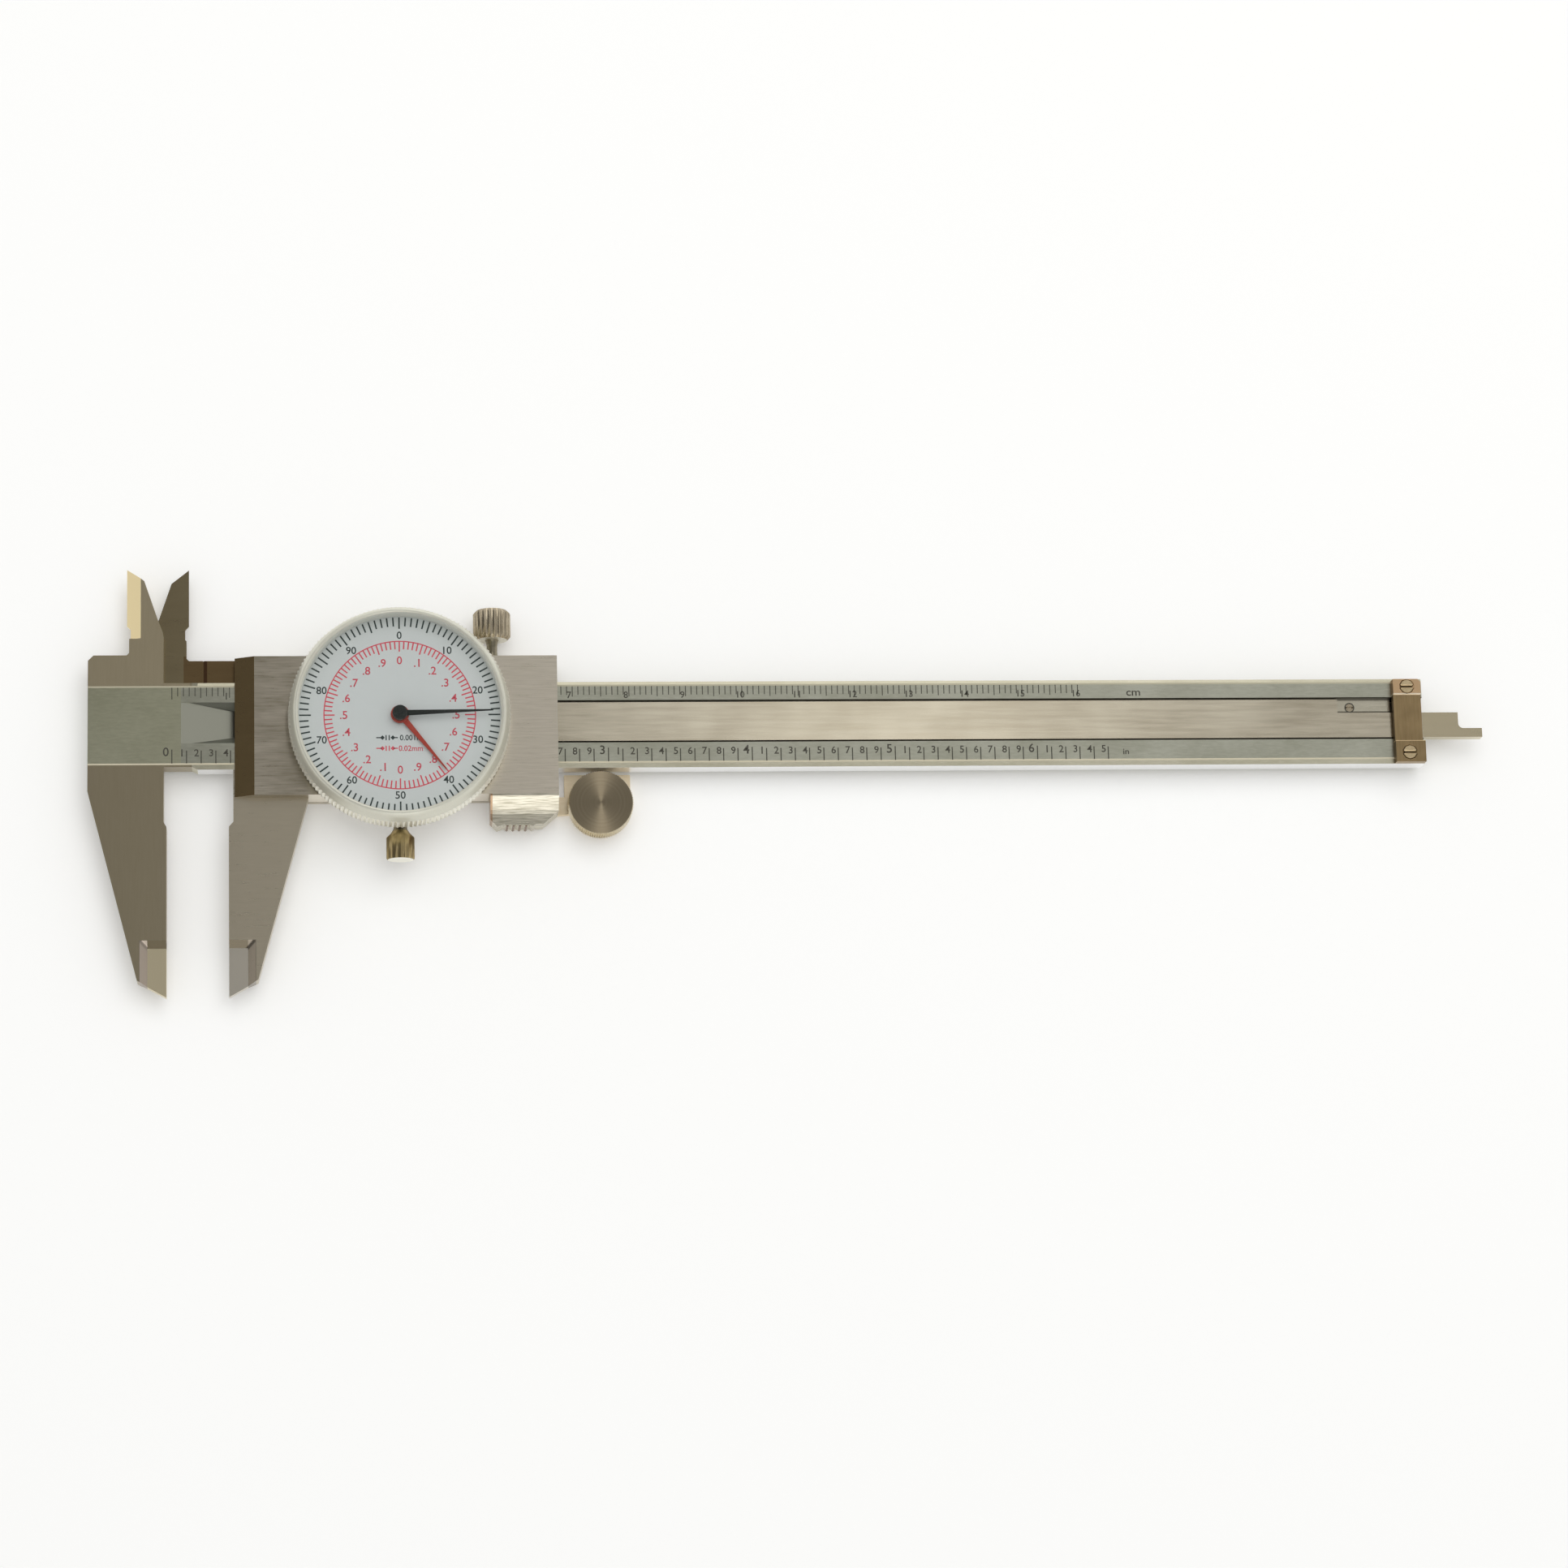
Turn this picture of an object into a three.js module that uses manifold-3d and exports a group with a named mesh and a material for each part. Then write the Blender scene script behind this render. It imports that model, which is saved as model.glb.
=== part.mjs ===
// Dial caliper, 150 mm, lying on its back with the dial towards +Z.
// +X runs along the beam away from the jaws. The origin is in the middle of the measuring face of
// the fixed outside jaw. The pieces are drawn round the centreline of the beam. Millimetres.

import * as THREE from 'three';
import { mergeVertices } from 'three/addons/utils/BufferGeometryUtils.js';
import Module from 'manifold-3d';

const wasm = await Module();
wasm.setup();

// How far the jaws stand open
const opening = 10.782;

// How far the middle of the fixed measuring face lies under the centreline of the beam.
const face_middle = 30;

// Clearances
const running_gap = 0.05;
const thread_gap = 0.1;
const pivot_gap = 0.2;
const seat_gap = 0.3;
const overrun = 1;

// Beam and its channel
const beam_length = 223.2;
const beam_width = 15.5;
const beam_thickness = 4;
const channel_low = -3.05;
const channel_high = 4.25;
const channel_depth = 2.4;
const runout_start = 2.5;
const edge_chamfer = 0.6;
const chamfer_drop = 0.12;
const undercut_length = 4.4;
const undercut_depth = 0.47;
const undercut_slope = 1;

// Fixed jaws
const head_left = 13.65;
const head_top = 12.76;
const head_corner = 0.95;
const jaw_depth = 47.75;
const jaw_shoulder = 11.5;
const jaw_tip_width = 5.03;
const jaw_tip_slope = 2.83;
const face_start = 17.9;
const face_relief = 0.5;
const relief_slope = 0.85;
const nib_width = 4.57;
const nib_height = 9.85;
const nib_thickness = 1.8;
const nib_slope = 1.3;

// Inside jaws, which share one knife-edge line when the caliper is closed
const knife_line = 6.95;
const knife_tip = 28.6;
const knife_foot = 18.4;
const knife_land = 0.25;
const bevel_width = 2.45;
const notch_depth = 0.66;
const notch_low = 16;
const inner_jaw_width = 6.42;
const inner_shoulder = 19.31;
const inner_waist = 16.91;
const inner_crest = 26.16;
const inner_crest_width = 3.05;
const inner_shoulder_width = 5.36;
const inner_waist_width = 6.28;
const inner_base_width = 0.43;
const inner_jaw_gap = 0.05;

// Rack and pinion: one turn of the pinion is 12.7 mm of travel
const rack_pitch = 0.635;
const rack_width = 2.42;
const rack_height = 1.4;
const rack_lead = 4.3;
const pinion_teeth = 20;
const tip_share = 0.16;
const addendum_share = 0.8;
const dedendum_share = 1.8;
const rack_screw_radius = 0.74;
const rack_screw_end = 7.42;
const rack_screw_drop = 0.32;
const rack_screw_grip = 1.2;

// Slide box, measured from the face of the movable outside jaw
const slide_left = 1.05;
const slide_length = 56.37;
const slide_top = 12.03;
const slide_bottom = -12.77;
const slide_front = 4.2;
const reading_bevel = 3.41;
const reading_edge = 0.35;
const cover_rear = -3.9;
const gib_thickness = 1.5;
const gib_margin = 4.5;
const travel_spare = 7.88;
const movable_relief = 0.78;
const movable_shoulder = 13.82;
const movable_base = 12.18;
const jaw_groove = 0.25;
const jaw_groove_place = 4.3;

// Thumb rest, roller and bracket
const rest_length = 11.95;
const rest_bottom = -18.2;
const rest_corner = 2.7;
const rest_lip = 1.2;
const scoop_radius = 7;
const scoop_depth = 2.2;
const grip_ridges = 5;
const grip_pitch = 1.1;
const grip_depth = 0.4;
const roller_reach = 7.5;
const roller_drop = 13.9;
const roller_radius = 5.75;
const roller_front = 1.7;
const roller_edge = 0.2;
const bracket_thickness = 1.2;
const bracket_width = 11.65;
const bracket_top = -8.1;
const bracket_arm = 2.6;
const stud_radius = 1.5;
const stud_rim = 0.6;
const stud_length = 2.6;

// Depth rod
const rod_blade = 26.15;
const rod_tip_length = 4.28;
const rod_tip_low = -1.24;
const rod_shelf = 1.75;
const rod_top = 1.75;
const rod_flange = 0.6;
const rod_gap = 0.18;
const rod_root = 30.5;
const rod_pad_length = 13;
const rod_pin_radius = 0.8;

// Dial, its case and bezel, measured from the face of the movable outside jaw
const dial_offset = 0.483;
const dial_height = 0.4;
const case_radius = 17.95;
const case_wall = 1.2;
const case_floor = 0.8;
const case_top = 7.6;
const case_screw_shares = [[0.6, 0], [-0.3, 0.52], [-0.3, -0.52]];
const post_shares = [[0.4, 0], [-0.61, 0.51], [-0.61, -0.51]];
const bezel_reach = 1.45;
const bezel_bottom = 5;
const bezel_edge = 9.1;
const bezel_top = 12;
const bezel_ledge = 0.35;
const bezel_skirt = 1.15;
const bezel_rim = 0.4;
const crystal_bottom = 11.2;
const crystal_thickness = 0.9;
const crystal_crown = 0.25;
const crown_shoulder_share = 0.6;
const crown_rise_share = 0.64;
const gasket_thickness = 0.25;
const face_front = 8.6;
const face_thickness = 0.6;
const face_hole = 1.3;
const ring_thickness = 0.3;
const ring_width = 0.7;

// Gear train: the wheels share the distance from their arbor to the middle of the dial
const wheel_room = 1.75;
const inch_wheel_teeth = 60;
const inch_pinion_teeth = 12;
const metric_wheel_teeth = 127;
const metric_pinion_teeth = 20;
const wheel_thickness = 0.4;
const inch_wheel_height = 5.25;
const metric_wheel_height = 5.95;
const pinion_overhang = 0.05;
const arbor_radius = 0.75;
const inner_arbor_radius = 0.4;
const tube_radius = 0.85;
const bush_radius = 3;
const bridge_bottom = 6.6;
const bridge_thickness = 0.5;
const post_radius = 1.2;

// Hands: one turn is 2.54 mm of travel for the black one and 2 mm for the red one
const inch_turn = 2.54;
const metric_turn = 2;
const hand_thickness = 0.2;
const inch_hand_height = 10;
const metric_hand_height = 9.1;
const hub_radius = 1.45;
const hub_height = 0.8;
const inch_hand_margin = 1.75;
const metric_hand_margin = 5.35;
const hand_root = 1;
const hand_tip = 0.2;

// Lock screws
const lock_inset = 11.25;
const lock_depth = 0.6;
const lock_head_radius = 3.29;
const lock_neck_length = 3.57;
const lock_head_length = 5.3;
const lock_neck_radius = 1.43;
const lock_thread_radius = 1.2;
const clamp_depth = 2.9;
const clamp_head_radius = 2.46;
const clamp_clearance = 1;
const clamp_head_length = 4.2;
const clamp_neck_radius = 1.4;
const clamp_thread_radius = 1;
const head_ribs = 18;
const rib_depth = 0.22;
const head_edge = 0.6;
const neck_share = 0.75;
const clamp_grip = 1.5;
const clamp_shoulder = 0.9;

// Small screws
const screw_head_radius = 1.3;
const screw_head_height = 0.5;
const screw_radius = 0.7;
const slot_width = 0.35;
const slot_depth = 0.25;
const cover_screw_radius = 1.9;
const set_screw_radius = 1.1;

// End stop
const stop_inset = 5.5;
const stop_length = 5;
const stop_step = 0.4;
const stop_thickness = 1.8;
const stop_recess = 0.35;
const stop_land_high = 4.59;
const stop_land_low = -3.88;
const stop_screw_inset = 1.75;
const stop_clip = 0.5;
const stop_margin = 0.4;

// Round pieces take one of these numbers of sides.
const small_sides = 10;
const medium_sides = 24;
const hidden_sides = 32;
const large_sides = 60;
const arc_steps = 5;

// Sizes that follow from the ones above
const stop_left = beam_length - stop_inset;
const rack_end = stop_left - thread_gap;
const rod_step = beam_length - rod_blade;
const rod_shoulder = beam_length - rod_tip_length;
const beam_half_width = beam_width / 2;
const beam_half = beam_thickness / 2;
const channel_floor = beam_half - channel_depth;
const plate_rear = beam_half + running_gap;
const wall_rear = -plate_rear;
const slide_right = slide_left + slide_length;
const full_travel = stop_left - slide_right - travel_spare;
const dial_place = (slide_left + slide_right) / 2 + dial_offset;
const rest_left = slide_right - rest_length;
const lock_place = slide_right - lock_inset;
const lock_head_low = slide_top + lock_neck_length;
const roller_place = slide_right + roller_reach;
const bezel_radius = case_radius + bezel_reach;
const bezel_lip = case_radius;
const clamp_head_high = dial_height - bezel_radius - clamp_clearance;
const inch_hand_length = bezel_lip - inch_hand_margin;
const metric_hand_length = bezel_lip - metric_hand_margin;
const rail_low = -beam_half_width - running_gap;
const gib_seat = beam_half_width + gib_thickness + 2 * running_gap;
const bracket_front = cover_rear + bracket_thickness;
const rack_module = rack_pitch / Math.PI;
const pinion_pitch_radius = (rack_module * pinion_teeth) / 2;
const rack_face = channel_high - rack_width;
const arbor_height = rack_face + rack_module * addendum_share - pinion_pitch_radius;
const metric_teeth = metric_wheel_teeth + metric_pinion_teeth;
const wheel_reach_share = 1 + (metric_wheel_teeth + 2 * addendum_share) / metric_teeth;
const arbor_distance = (case_radius - case_wall - wheel_room) / wheel_reach_share;
const arbor_rise = dial_height - arbor_height;
const arbor_place = dial_place - Math.sqrt(arbor_distance ** 2 - arbor_rise ** 2);
const mesh_angle = Math.asin(arbor_rise / arbor_distance);
const rack_start = arbor_place - pinion_pitch_radius - rack_lead;
const runout_end = rack_start - seat_gap;
const rod_floor = channel_floor + running_gap;
const rod_low = channel_low + rod_gap;
const rod_body_high = rack_face - rod_gap;
const rod_flange_high = channel_high - rod_gap;
const face_rear = face_front - face_thickness;
const skirt_inner = bezel_radius - bezel_skirt;
const ledge_radius = bezel_lip - bezel_ledge;
const case_floor_top = slide_front + case_floor;
const turn = 2 * Math.PI;

// Finishes
function metal(colour, roughness) {
  return new THREE.MeshStandardMaterial({ color: colour, roughness, metalness: 1 });
}
function paint(colour, roughness) {
  return new THREE.MeshStandardMaterial({ color: colour, roughness, metalness: 0 });
}
const satin_chrome = metal('#a7aba6', 0.45);
const brushed_steel = metal('#9a9284', 0.38);
const bright_steel = metal('#c9c5ba', 0.25);
const bronze_steel = metal('#7d7158', 0.4);
const brass = metal('#b59a5b', 0.35);
const clear_plastic = paint('#f4f6f4', 0.08);
clear_plastic.transparent = true;
clear_plastic.opacity = 0.25;
const nylon = paint('#d5d8d0', 0.5);
const white_enamel = paint('#d7e3e4', 0.5);
const black_enamel = paint('#1c1c1b', 0.4);
const red_enamel = paint('#c8412f', 0.4);

// A closed body with welded corners, no flat triangles and its faces pointing out
function welded(geometry) {
  const bare = geometry.clone();
  bare.deleteAttribute('normal');
  bare.deleteAttribute('uv');
  const merged = mergeVertices(bare);
  const corners = merged.index.array;
  const at = merged.attributes.position;
  const a = new THREE.Vector3();
  const b = new THREE.Vector3();
  const c = new THREE.Vector3();
  const kept = [];
  let volume = 0;
  for (let i = 0; i < corners.length; i += 3) {
    const [p, q, r] = corners.slice(i, i + 3);
    if (p !== q && q !== r && r !== p) {
      kept.push(p, q, r);
      a.fromBufferAttribute(at, p);
      b.fromBufferAttribute(at, q);
      c.fromBufferAttribute(at, r);
      volume += a.dot(b.cross(c));
    }
  }
  merged.setIndex(volume < 0 ? kept.reverse() : kept);
  return merged;
}

function to_solid(geometry) {
  const body = welded(geometry);
  return new wasm.Manifold(new wasm.Mesh({
    numProp: 3,
    vertProperties: new Float32Array(body.attributes.position.array),
    triVerts: new Uint32Array(body.index.array),
  }));
}

function to_geometry(solid) {
  const mesh = solid.getMesh();
  const geometry = new THREE.BufferGeometry();
  geometry.setAttribute('position', new THREE.BufferAttribute(mesh.vertProperties.slice(), 3));
  geometry.setIndex(new THREE.BufferAttribute(mesh.triVerts.slice(), 1));
  return geometry;
}

function join(first, ...others) {
  return to_geometry(others.reduce((whole, part) => whole.add(to_solid(part)), to_solid(first)));
}

function cut(first, ...tools) {
  return to_geometry(tools.reduce((whole, tool) => whole.subtract(to_solid(tool)), to_solid(first)));
}

// Plain shapes, each given by its faces along the axes
function block(x_low, x_high, y_low, y_high, z_low, z_high) {
  const box = new THREE.BoxGeometry(x_high - x_low, y_high - y_low, z_high - z_low);
  return box.translate((x_low + x_high) / 2, (y_low + y_high) / 2, (z_low + z_high) / 2);
}

function shape_of(points) {
  return new THREE.Shape(points.map(([x, y]) => new THREE.Vector2(x, y)));
}

// An outline in X and Y, raised from z_low to z_high, with round or shaped holes
function plate(outline, z_low, z_high, holes = []) {
  const shape = shape_of(outline);
  shape.holes = holes.map(shape_of);
  const body = new THREE.ExtrudeGeometry(shape, { depth: z_high - z_low, bevelEnabled: false });
  return body.translate(0, 0, z_low);
}

// A profile in X and Z, run along Y
function run_along_y(profile, y_low, y_high) {
  const depth = y_high - y_low;
  const body = new THREE.ExtrudeGeometry(shape_of(profile), { depth, bevelEnabled: false });
  return body.rotateX(Math.PI / 2).translate(0, y_high, 0);
}

function arc(x, y, radius, from, to, steps = arc_steps) {
  const points = [];
  for (let i = 0; i <= steps; i += 1) {
    const angle = from + ((to - from) * i) / steps;
    points.push([x + radius * Math.cos(angle), y + radius * Math.sin(angle)]);
  }
  return points;
}

function circle(x, y, radius, sides = small_sides) {
  return arc(x, y, radius, 0, turn, sides).slice(0, sides);
}

// Turned shapes: the profile lists radius and height, from the axis and back to it
function turned(profile, x, y, sides = medium_sides) {
  const points = profile.map(([radius, height]) => new THREE.Vector2(radius, height));
  return new THREE.LatheGeometry(points, sides).rotateX(Math.PI / 2).translate(x, y, 0);
}

function turned_along_y(profile, x, z, sides = medium_sides) {
  const points = profile.map(([radius, height]) => new THREE.Vector2(radius, height));
  return new THREE.LatheGeometry(points, sides).translate(x, 0, z);
}

function pin(radius, z_low, z_high, x, y, sides = small_sides) {
  return turned([[0, z_low], [radius, z_low], [radius, z_high], [0, z_high]], x, y, sides);
}

function pin_along_y(radius, y_low, y_high, x, z, sides = small_sides) {
  return turned_along_y([[0, y_low], [radius, y_low], [radius, y_high], [0, y_high]], x, z, sides);
}

// A ring turned about Z, closed on itself
function ring(inner, outer, z_low, z_high, x, y, sides = large_sides) {
  const profile = [[inner, z_low], [outer, z_low], [outer, z_high], [inner, z_high], [inner, z_low]];
  return turned(profile, x, y, sides);
}

// Screws stand on the plane z = 0 with the shank below it, before they are turned and placed.
function pan_screw(head_radius, head_height, radius, length) {
  const body = turned([
    [0, -length], [radius, -length], [radius, 0],
    [head_radius, 0], [head_radius, head_height], [0, head_height],
  ], 0, 0, small_sides);
  const half = slot_width / 2;
  const reach = head_radius + overrun;
  const slot = block(-reach, reach, -half, half, head_height - slot_depth, head_height + overrun);
  return cut(body, slot);
}

function sunk_profile(head_radius, radius, length, gap) {
  const cone = head_radius - radius;
  return [
    [0, -length - gap], [radius + gap, -length - gap], [radius + gap, -cone],
    [head_radius + gap, 0],
  ];
}

function sunk_screw(head_radius, radius, length) {
  const body = turned([...sunk_profile(head_radius, radius, length, 0), [0, 0]], 0, 0, small_sides);
  const half = slot_width / 2;
  const reach = head_radius + overrun;
  return cut(body, block(-reach, reach, -half, half, -slot_depth, overrun));
}

function sunk_seat(head_radius, radius, length) {
  const profile = sunk_profile(head_radius, radius, length, thread_gap);
  const mouth = head_radius + thread_gap;
  return turned([...profile, [mouth, overrun], [0, overrun]], 0, 0, small_sides);
}

// Turns a shape that stands on z = 0 to face -Z, on the plane z.
function face_down(geometry, x, y, z) {
  return geometry.rotateX(Math.PI).translate(x, y, z);
}

// Toothed wheels: flat tips and pointed roots about the pitch circle. One tooth points along phase.
function gear_outline(teeth, module, phase) {
  const pitch_radius = (module * teeth) / 2;
  const tip_radius = pitch_radius + module * addendum_share;
  const root_radius = pitch_radius - module * dedendum_share;
  const step = turn / teeth;
  const outline = [];
  for (let i = 0; i < teeth; i += 1) {
    const middle = phase + i * step;
    const corners = [[root_radius, -1 / 2], [tip_radius, -tip_share / 2], [tip_radius, tip_share / 2]];
    corners.forEach(([radius, share]) => {
      const angle = middle + share * step;
      outline.push([radius * Math.cos(angle), radius * Math.sin(angle)]);
    });
  }
  return outline;
}

function rack_outline() {
  const tip = rack_face;
  const root = rack_face + rack_module * (addendum_share + dedendum_share);
  const middle = opening + arbor_place;
  const closed = arbor_place - pinion_pitch_radius;
  const teeth_before = Math.ceil((middle - closed) / rack_pitch);
  const teeth = teeth_before + Math.ceil((full_travel - opening + pinion_pitch_radius) / rack_pitch);
  const first = middle - (teeth_before - 1 / 2) * rack_pitch;
  const outline = [[rack_start, channel_high], [rack_start, tip], [first - rack_pitch, tip]];
  outline.push([first - rack_pitch / 2, root]);
  for (let i = 0; i < teeth; i += 1) {
    const x = first + i * rack_pitch;
    outline.push([x - (tip_share * rack_pitch) / 2, tip], [x + (tip_share * rack_pitch) / 2, tip]);
    outline.push([x + rack_pitch / 2, root]);
  }
  const last = first + (teeth - 1) * rack_pitch;
  outline.push([last + rack_pitch, tip]);
  outline.push([rack_end, tip], [rack_end, channel_high]);
  return outline;
}

// Each finished piece is a named mesh in the group of the body that carries it.
function add_piece(group, name, geometry, finish) {
  const mesh = new THREE.Mesh(welded(geometry), finish);
  mesh.name = name;
  group.add(mesh);
  return mesh;
}

const caliper = new THREE.Group();
const fixed = new THREE.Group();
fixed.position.y = face_middle;
caliper.add(fixed);
const slide = new THREE.Group();
slide.position.x = opening;
fixed.add(slide);

// Beam: blade, fixed outside jaw and fixed inside jaw are one ground piece of steel.
function outside_jaw_outline(side, top_width, shoulder, relief, top) {
  return [
    [side * relief, top],
    [side * relief, -face_start + relief_slope],
    [0, -face_start],
    [0, -jaw_depth],
    [side * jaw_tip_width, -jaw_depth + jaw_tip_slope],
    [side * top_width, shoulder],
  ];
}

// The outside jaws are thinned beside their measuring faces, in front and behind. The wheel that
// thins them leaves sloping walls, so a pocket is wider at its mouth than at its floor.
function pocket_layer(side, inset, z_low, z_high) {
  const top = nib_height - jaw_depth - inset;
  const width = nib_width - inset;
  const from = side < 0 ? Math.PI : 0;
  const corner = arc(side * (width - face_relief), top - face_relief, face_relief, from, Math.PI / 2);
  return to_solid(plate([
    [-side * overrun, top],
    [-side * overrun, -jaw_depth - overrun],
    [side * width, -jaw_depth - overrun],
    ...corner,
  ], z_low, z_high));
}

function nib_pockets(side) {
  const half = nib_thickness / 2;
  const reach = beam_half + overrun;
  const front = [
    pocket_layer(side, nib_slope, half, half + running_gap),
    pocket_layer(side, 0, beam_half, reach),
  ];
  const back = [
    pocket_layer(side, nib_slope, -half - running_gap, -half),
    pocket_layer(side, 0, -reach, -beam_half),
  ];
  return [front, back].map((layers) => to_geometry(wasm.Manifold.hull(layers)));
}

function inside_jaw_outline(side, base_top, base_far, foot) {
  const x = (width) => -knife_line + side * width;
  return [
    [x(inner_jaw_width), foot],
    [x(inner_jaw_width), notch_low],
    [x(inner_waist_width), inner_waist],
    [x(inner_shoulder_width), inner_shoulder],
    [x(inner_crest_width), inner_crest],
    [x(0), knife_tip],
    [x(0), knife_foot],
    [x(notch_depth), knife_foot - notch_depth],
    [x(notch_depth), notch_low],
    [x(inner_base_width), notch_low - knife_land],
    [x(inner_base_width), base_top + inner_base_width],
    [x(0), base_top],
    [x(-base_far), base_top],
    [x(-base_far), foot],
  ];
}

// The bevel that leaves a narrow knife land along the edge of an inside jaw
function knife_bevel(side, edge_z, face_z) {
  const out = Math.sign(face_z - edge_z);
  const land_z = edge_z + out * knife_land;
  const slope = (face_z - land_z) / bevel_width;
  const x = (width) => -knife_line + side * width;
  const low = notch_low - knife_land;
  return run_along_y([
    [x(-overrun), land_z - slope * overrun],
    [x(bevel_width), face_z],
    [x(bevel_width), face_z + out * overrun],
    [x(-overrun), face_z + out * overrun],
  ], low, knife_tip + overrun);
}

function make_beam() {
  const underside = -beam_half_width;
  const blade = plate([
    ...outside_jaw_outline(-1, head_left, -jaw_shoulder, face_relief, underside + undercut_depth),
    [-head_left, beam_half_width],
    [beam_length, beam_half_width],
    [beam_length, underside],
    [undercut_length + undercut_slope, underside],
    [undercut_length, underside + undercut_depth],
  ], -beam_half, beam_half);
  const head_reach = head_left - knife_line;
  const jaw = inside_jaw_outline(1, head_top, head_reach, 0);
  const corner = [[-head_left + head_corner, head_top], [-head_left, head_top - head_corner]];
  jaw.splice(jaw.length - 2, 1, ...corner);
  const head = plate(jaw, 0, beam_half);

  const channel = run_along_y([
    [runout_start, beam_half],
    [runout_end, channel_floor],
    [beam_length + overrun, channel_floor],
    [beam_length + overrun, beam_half + overrun],
    [runout_start, beam_half + overrun],
  ], channel_low, channel_high);

  const holes = stop_screw_places().map(([x, y]) => (
    pin(screw_radius + thread_gap, -beam_half - overrun, beam_half + overrun, x, y)
  ));
  const rack_holes = rack_screw_places().map(([x, y]) => (
    pin(rack_screw_radius / 2 + thread_gap, channel_floor - rack_screw_grip - thread_gap, beam_half, x, y)
  ));
  return cut(
    join(blade, head), channel, ...edge_chamfers(), knife_bevel(1, 0, beam_half), ...nib_pockets(-1),
    ...holes, ...rack_holes,
  );
}

// The upper and lower edges of the blade are ground off a little along the whole scale.
function edge_chamfers() {
  const start = undercut_length + undercut_slope;
  return [-1, 1].map((side) => {
    const wedge = shape_of([
      [side * (beam_half_width - edge_chamfer), beam_half],
      [side * (beam_half_width + overrun), beam_half - chamfer_drop * (1 + overrun / edge_chamfer)],
      [side * (beam_half_width + overrun), beam_half + overrun],
      [side * (beam_half_width - edge_chamfer), beam_half + overrun],
    ]);
    const depth = beam_length + overrun - start;
    const body = new THREE.ExtrudeGeometry(wedge, { depth, bevelEnabled: false });
    return body.rotateX(Math.PI / 2).rotateZ(Math.PI / 2).translate(start, 0, 0);
  });
}

// The end stop is a small plate across the end of the beam, with the rod free to pass under it.
function stop_screw_places() {
  const x = stop_left + stop_length / 2;
  return [[x, beam_half_width - stop_screw_inset], [x, -beam_half_width + stop_screw_inset]];
}

function make_end_stop() {
  const right = stop_left + stop_length;
  const top = beam_half + stop_thickness;
  const stop_high = beam_half_width - stop_margin;
  const body = plate([
    [stop_left, -beam_half_width],
    [right + stop_step, -beam_half_width],
    [right + stop_step, stop_land_low],
    [right, stop_land_low],
    [right, stop_high - stop_clip],
    [right - stop_clip, stop_high],
    [stop_left, stop_high],
  ], beam_half, top);
  const recess = block(
    stop_left - overrun, right + overrun, stop_land_low, stop_land_high, top - stop_recess, top + overrun,
  );
  const seats = stop_screw_places().map(([x, y]) => (
    sunk_seat(screw_head_radius, screw_radius, stop_thickness + overrun).translate(x, y, top)
  ));
  return cut(body, recess, ...seats);
}

// The rack lies against the upper wall of the channel, with its teeth towards the middle.
function rack_screw_places() {
  const y = (rack_face + channel_high) / 2 - rack_screw_drop;
  return [[rack_start + rack_width, y], [rack_end - rack_screw_end, y]];
}

const rack_top = channel_floor + rack_height;

function make_rack() {
  const body = plate(rack_outline(), channel_floor, rack_top);
  const [left, right] = rack_screw_places();
  const seats = [left, right].map(([x, y]) => (
    sunk_seat(rack_screw_radius, rack_screw_radius / 2, beam_half).translate(x, y, rack_top)
  ));
  return cut(body, ...seats);
}

function add_beam_pieces() {
  add_piece(fixed, 'beam', make_beam(), satin_chrome);
  add_piece(fixed, 'rack', make_rack(), brushed_steel);
  add_piece(fixed, 'end_stop', make_end_stop(), bronze_steel);
  const stop_names = ['end_stop_screw_upper', 'end_stop_screw_lower'];
  stop_screw_places().forEach(([x, y], i) => {
    const screw = sunk_screw(screw_head_radius, screw_radius, stop_thickness + beam_half);
    add_piece(fixed, stop_names[i], screw.translate(x, y, beam_half + stop_thickness), bronze_steel);
  });
  const rack_names = ['rack_screw_left', 'rack_screw_right'];
  rack_screw_places().forEach(([x, y], i) => {
    const screw = sunk_screw(rack_screw_radius, rack_screw_radius / 2, rack_height + rack_screw_grip);
    add_piece(fixed, rack_names[i], screw.translate(x, y, rack_top), bright_steel);
  });
}

// Slide: a channel-shaped box round the beam, with the movable jaws and the thumb rest in one.
function cover_screw_places() {
  const upper = (gib_seat + slide_top) / 2;
  const lower = (rail_low + slide_bottom) / 2;
  const inset = 2 * gib_margin;
  const left = slide_left + inset;
  const right = slide_right - inset / 2;
  return [[left, upper], [right, upper], [left, lower], [right, lower]];
}

function case_screw_places() {
  return case_screw_shares.map(([x, y]) => [dial_place + x * case_radius, dial_height + y * case_radius]);
}

function gib_screw_places() {
  const reach = slide_length / 4;
  return [slide_left + reach, slide_left + 2 * reach + gib_margin];
}

function rod_pin_places() {
  const middle = (rod_low + rod_body_high) / 2;
  const left = slide_right - rod_pad_length;
  return [[left + rod_pin_radius * 3, middle], [slide_right - rod_pin_radius * 3, middle]];
}

const bracket_screw_place = [rest_left + grip_pitch * 5, (slide_bottom + rest_bottom) / 2 + grip_depth];

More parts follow.
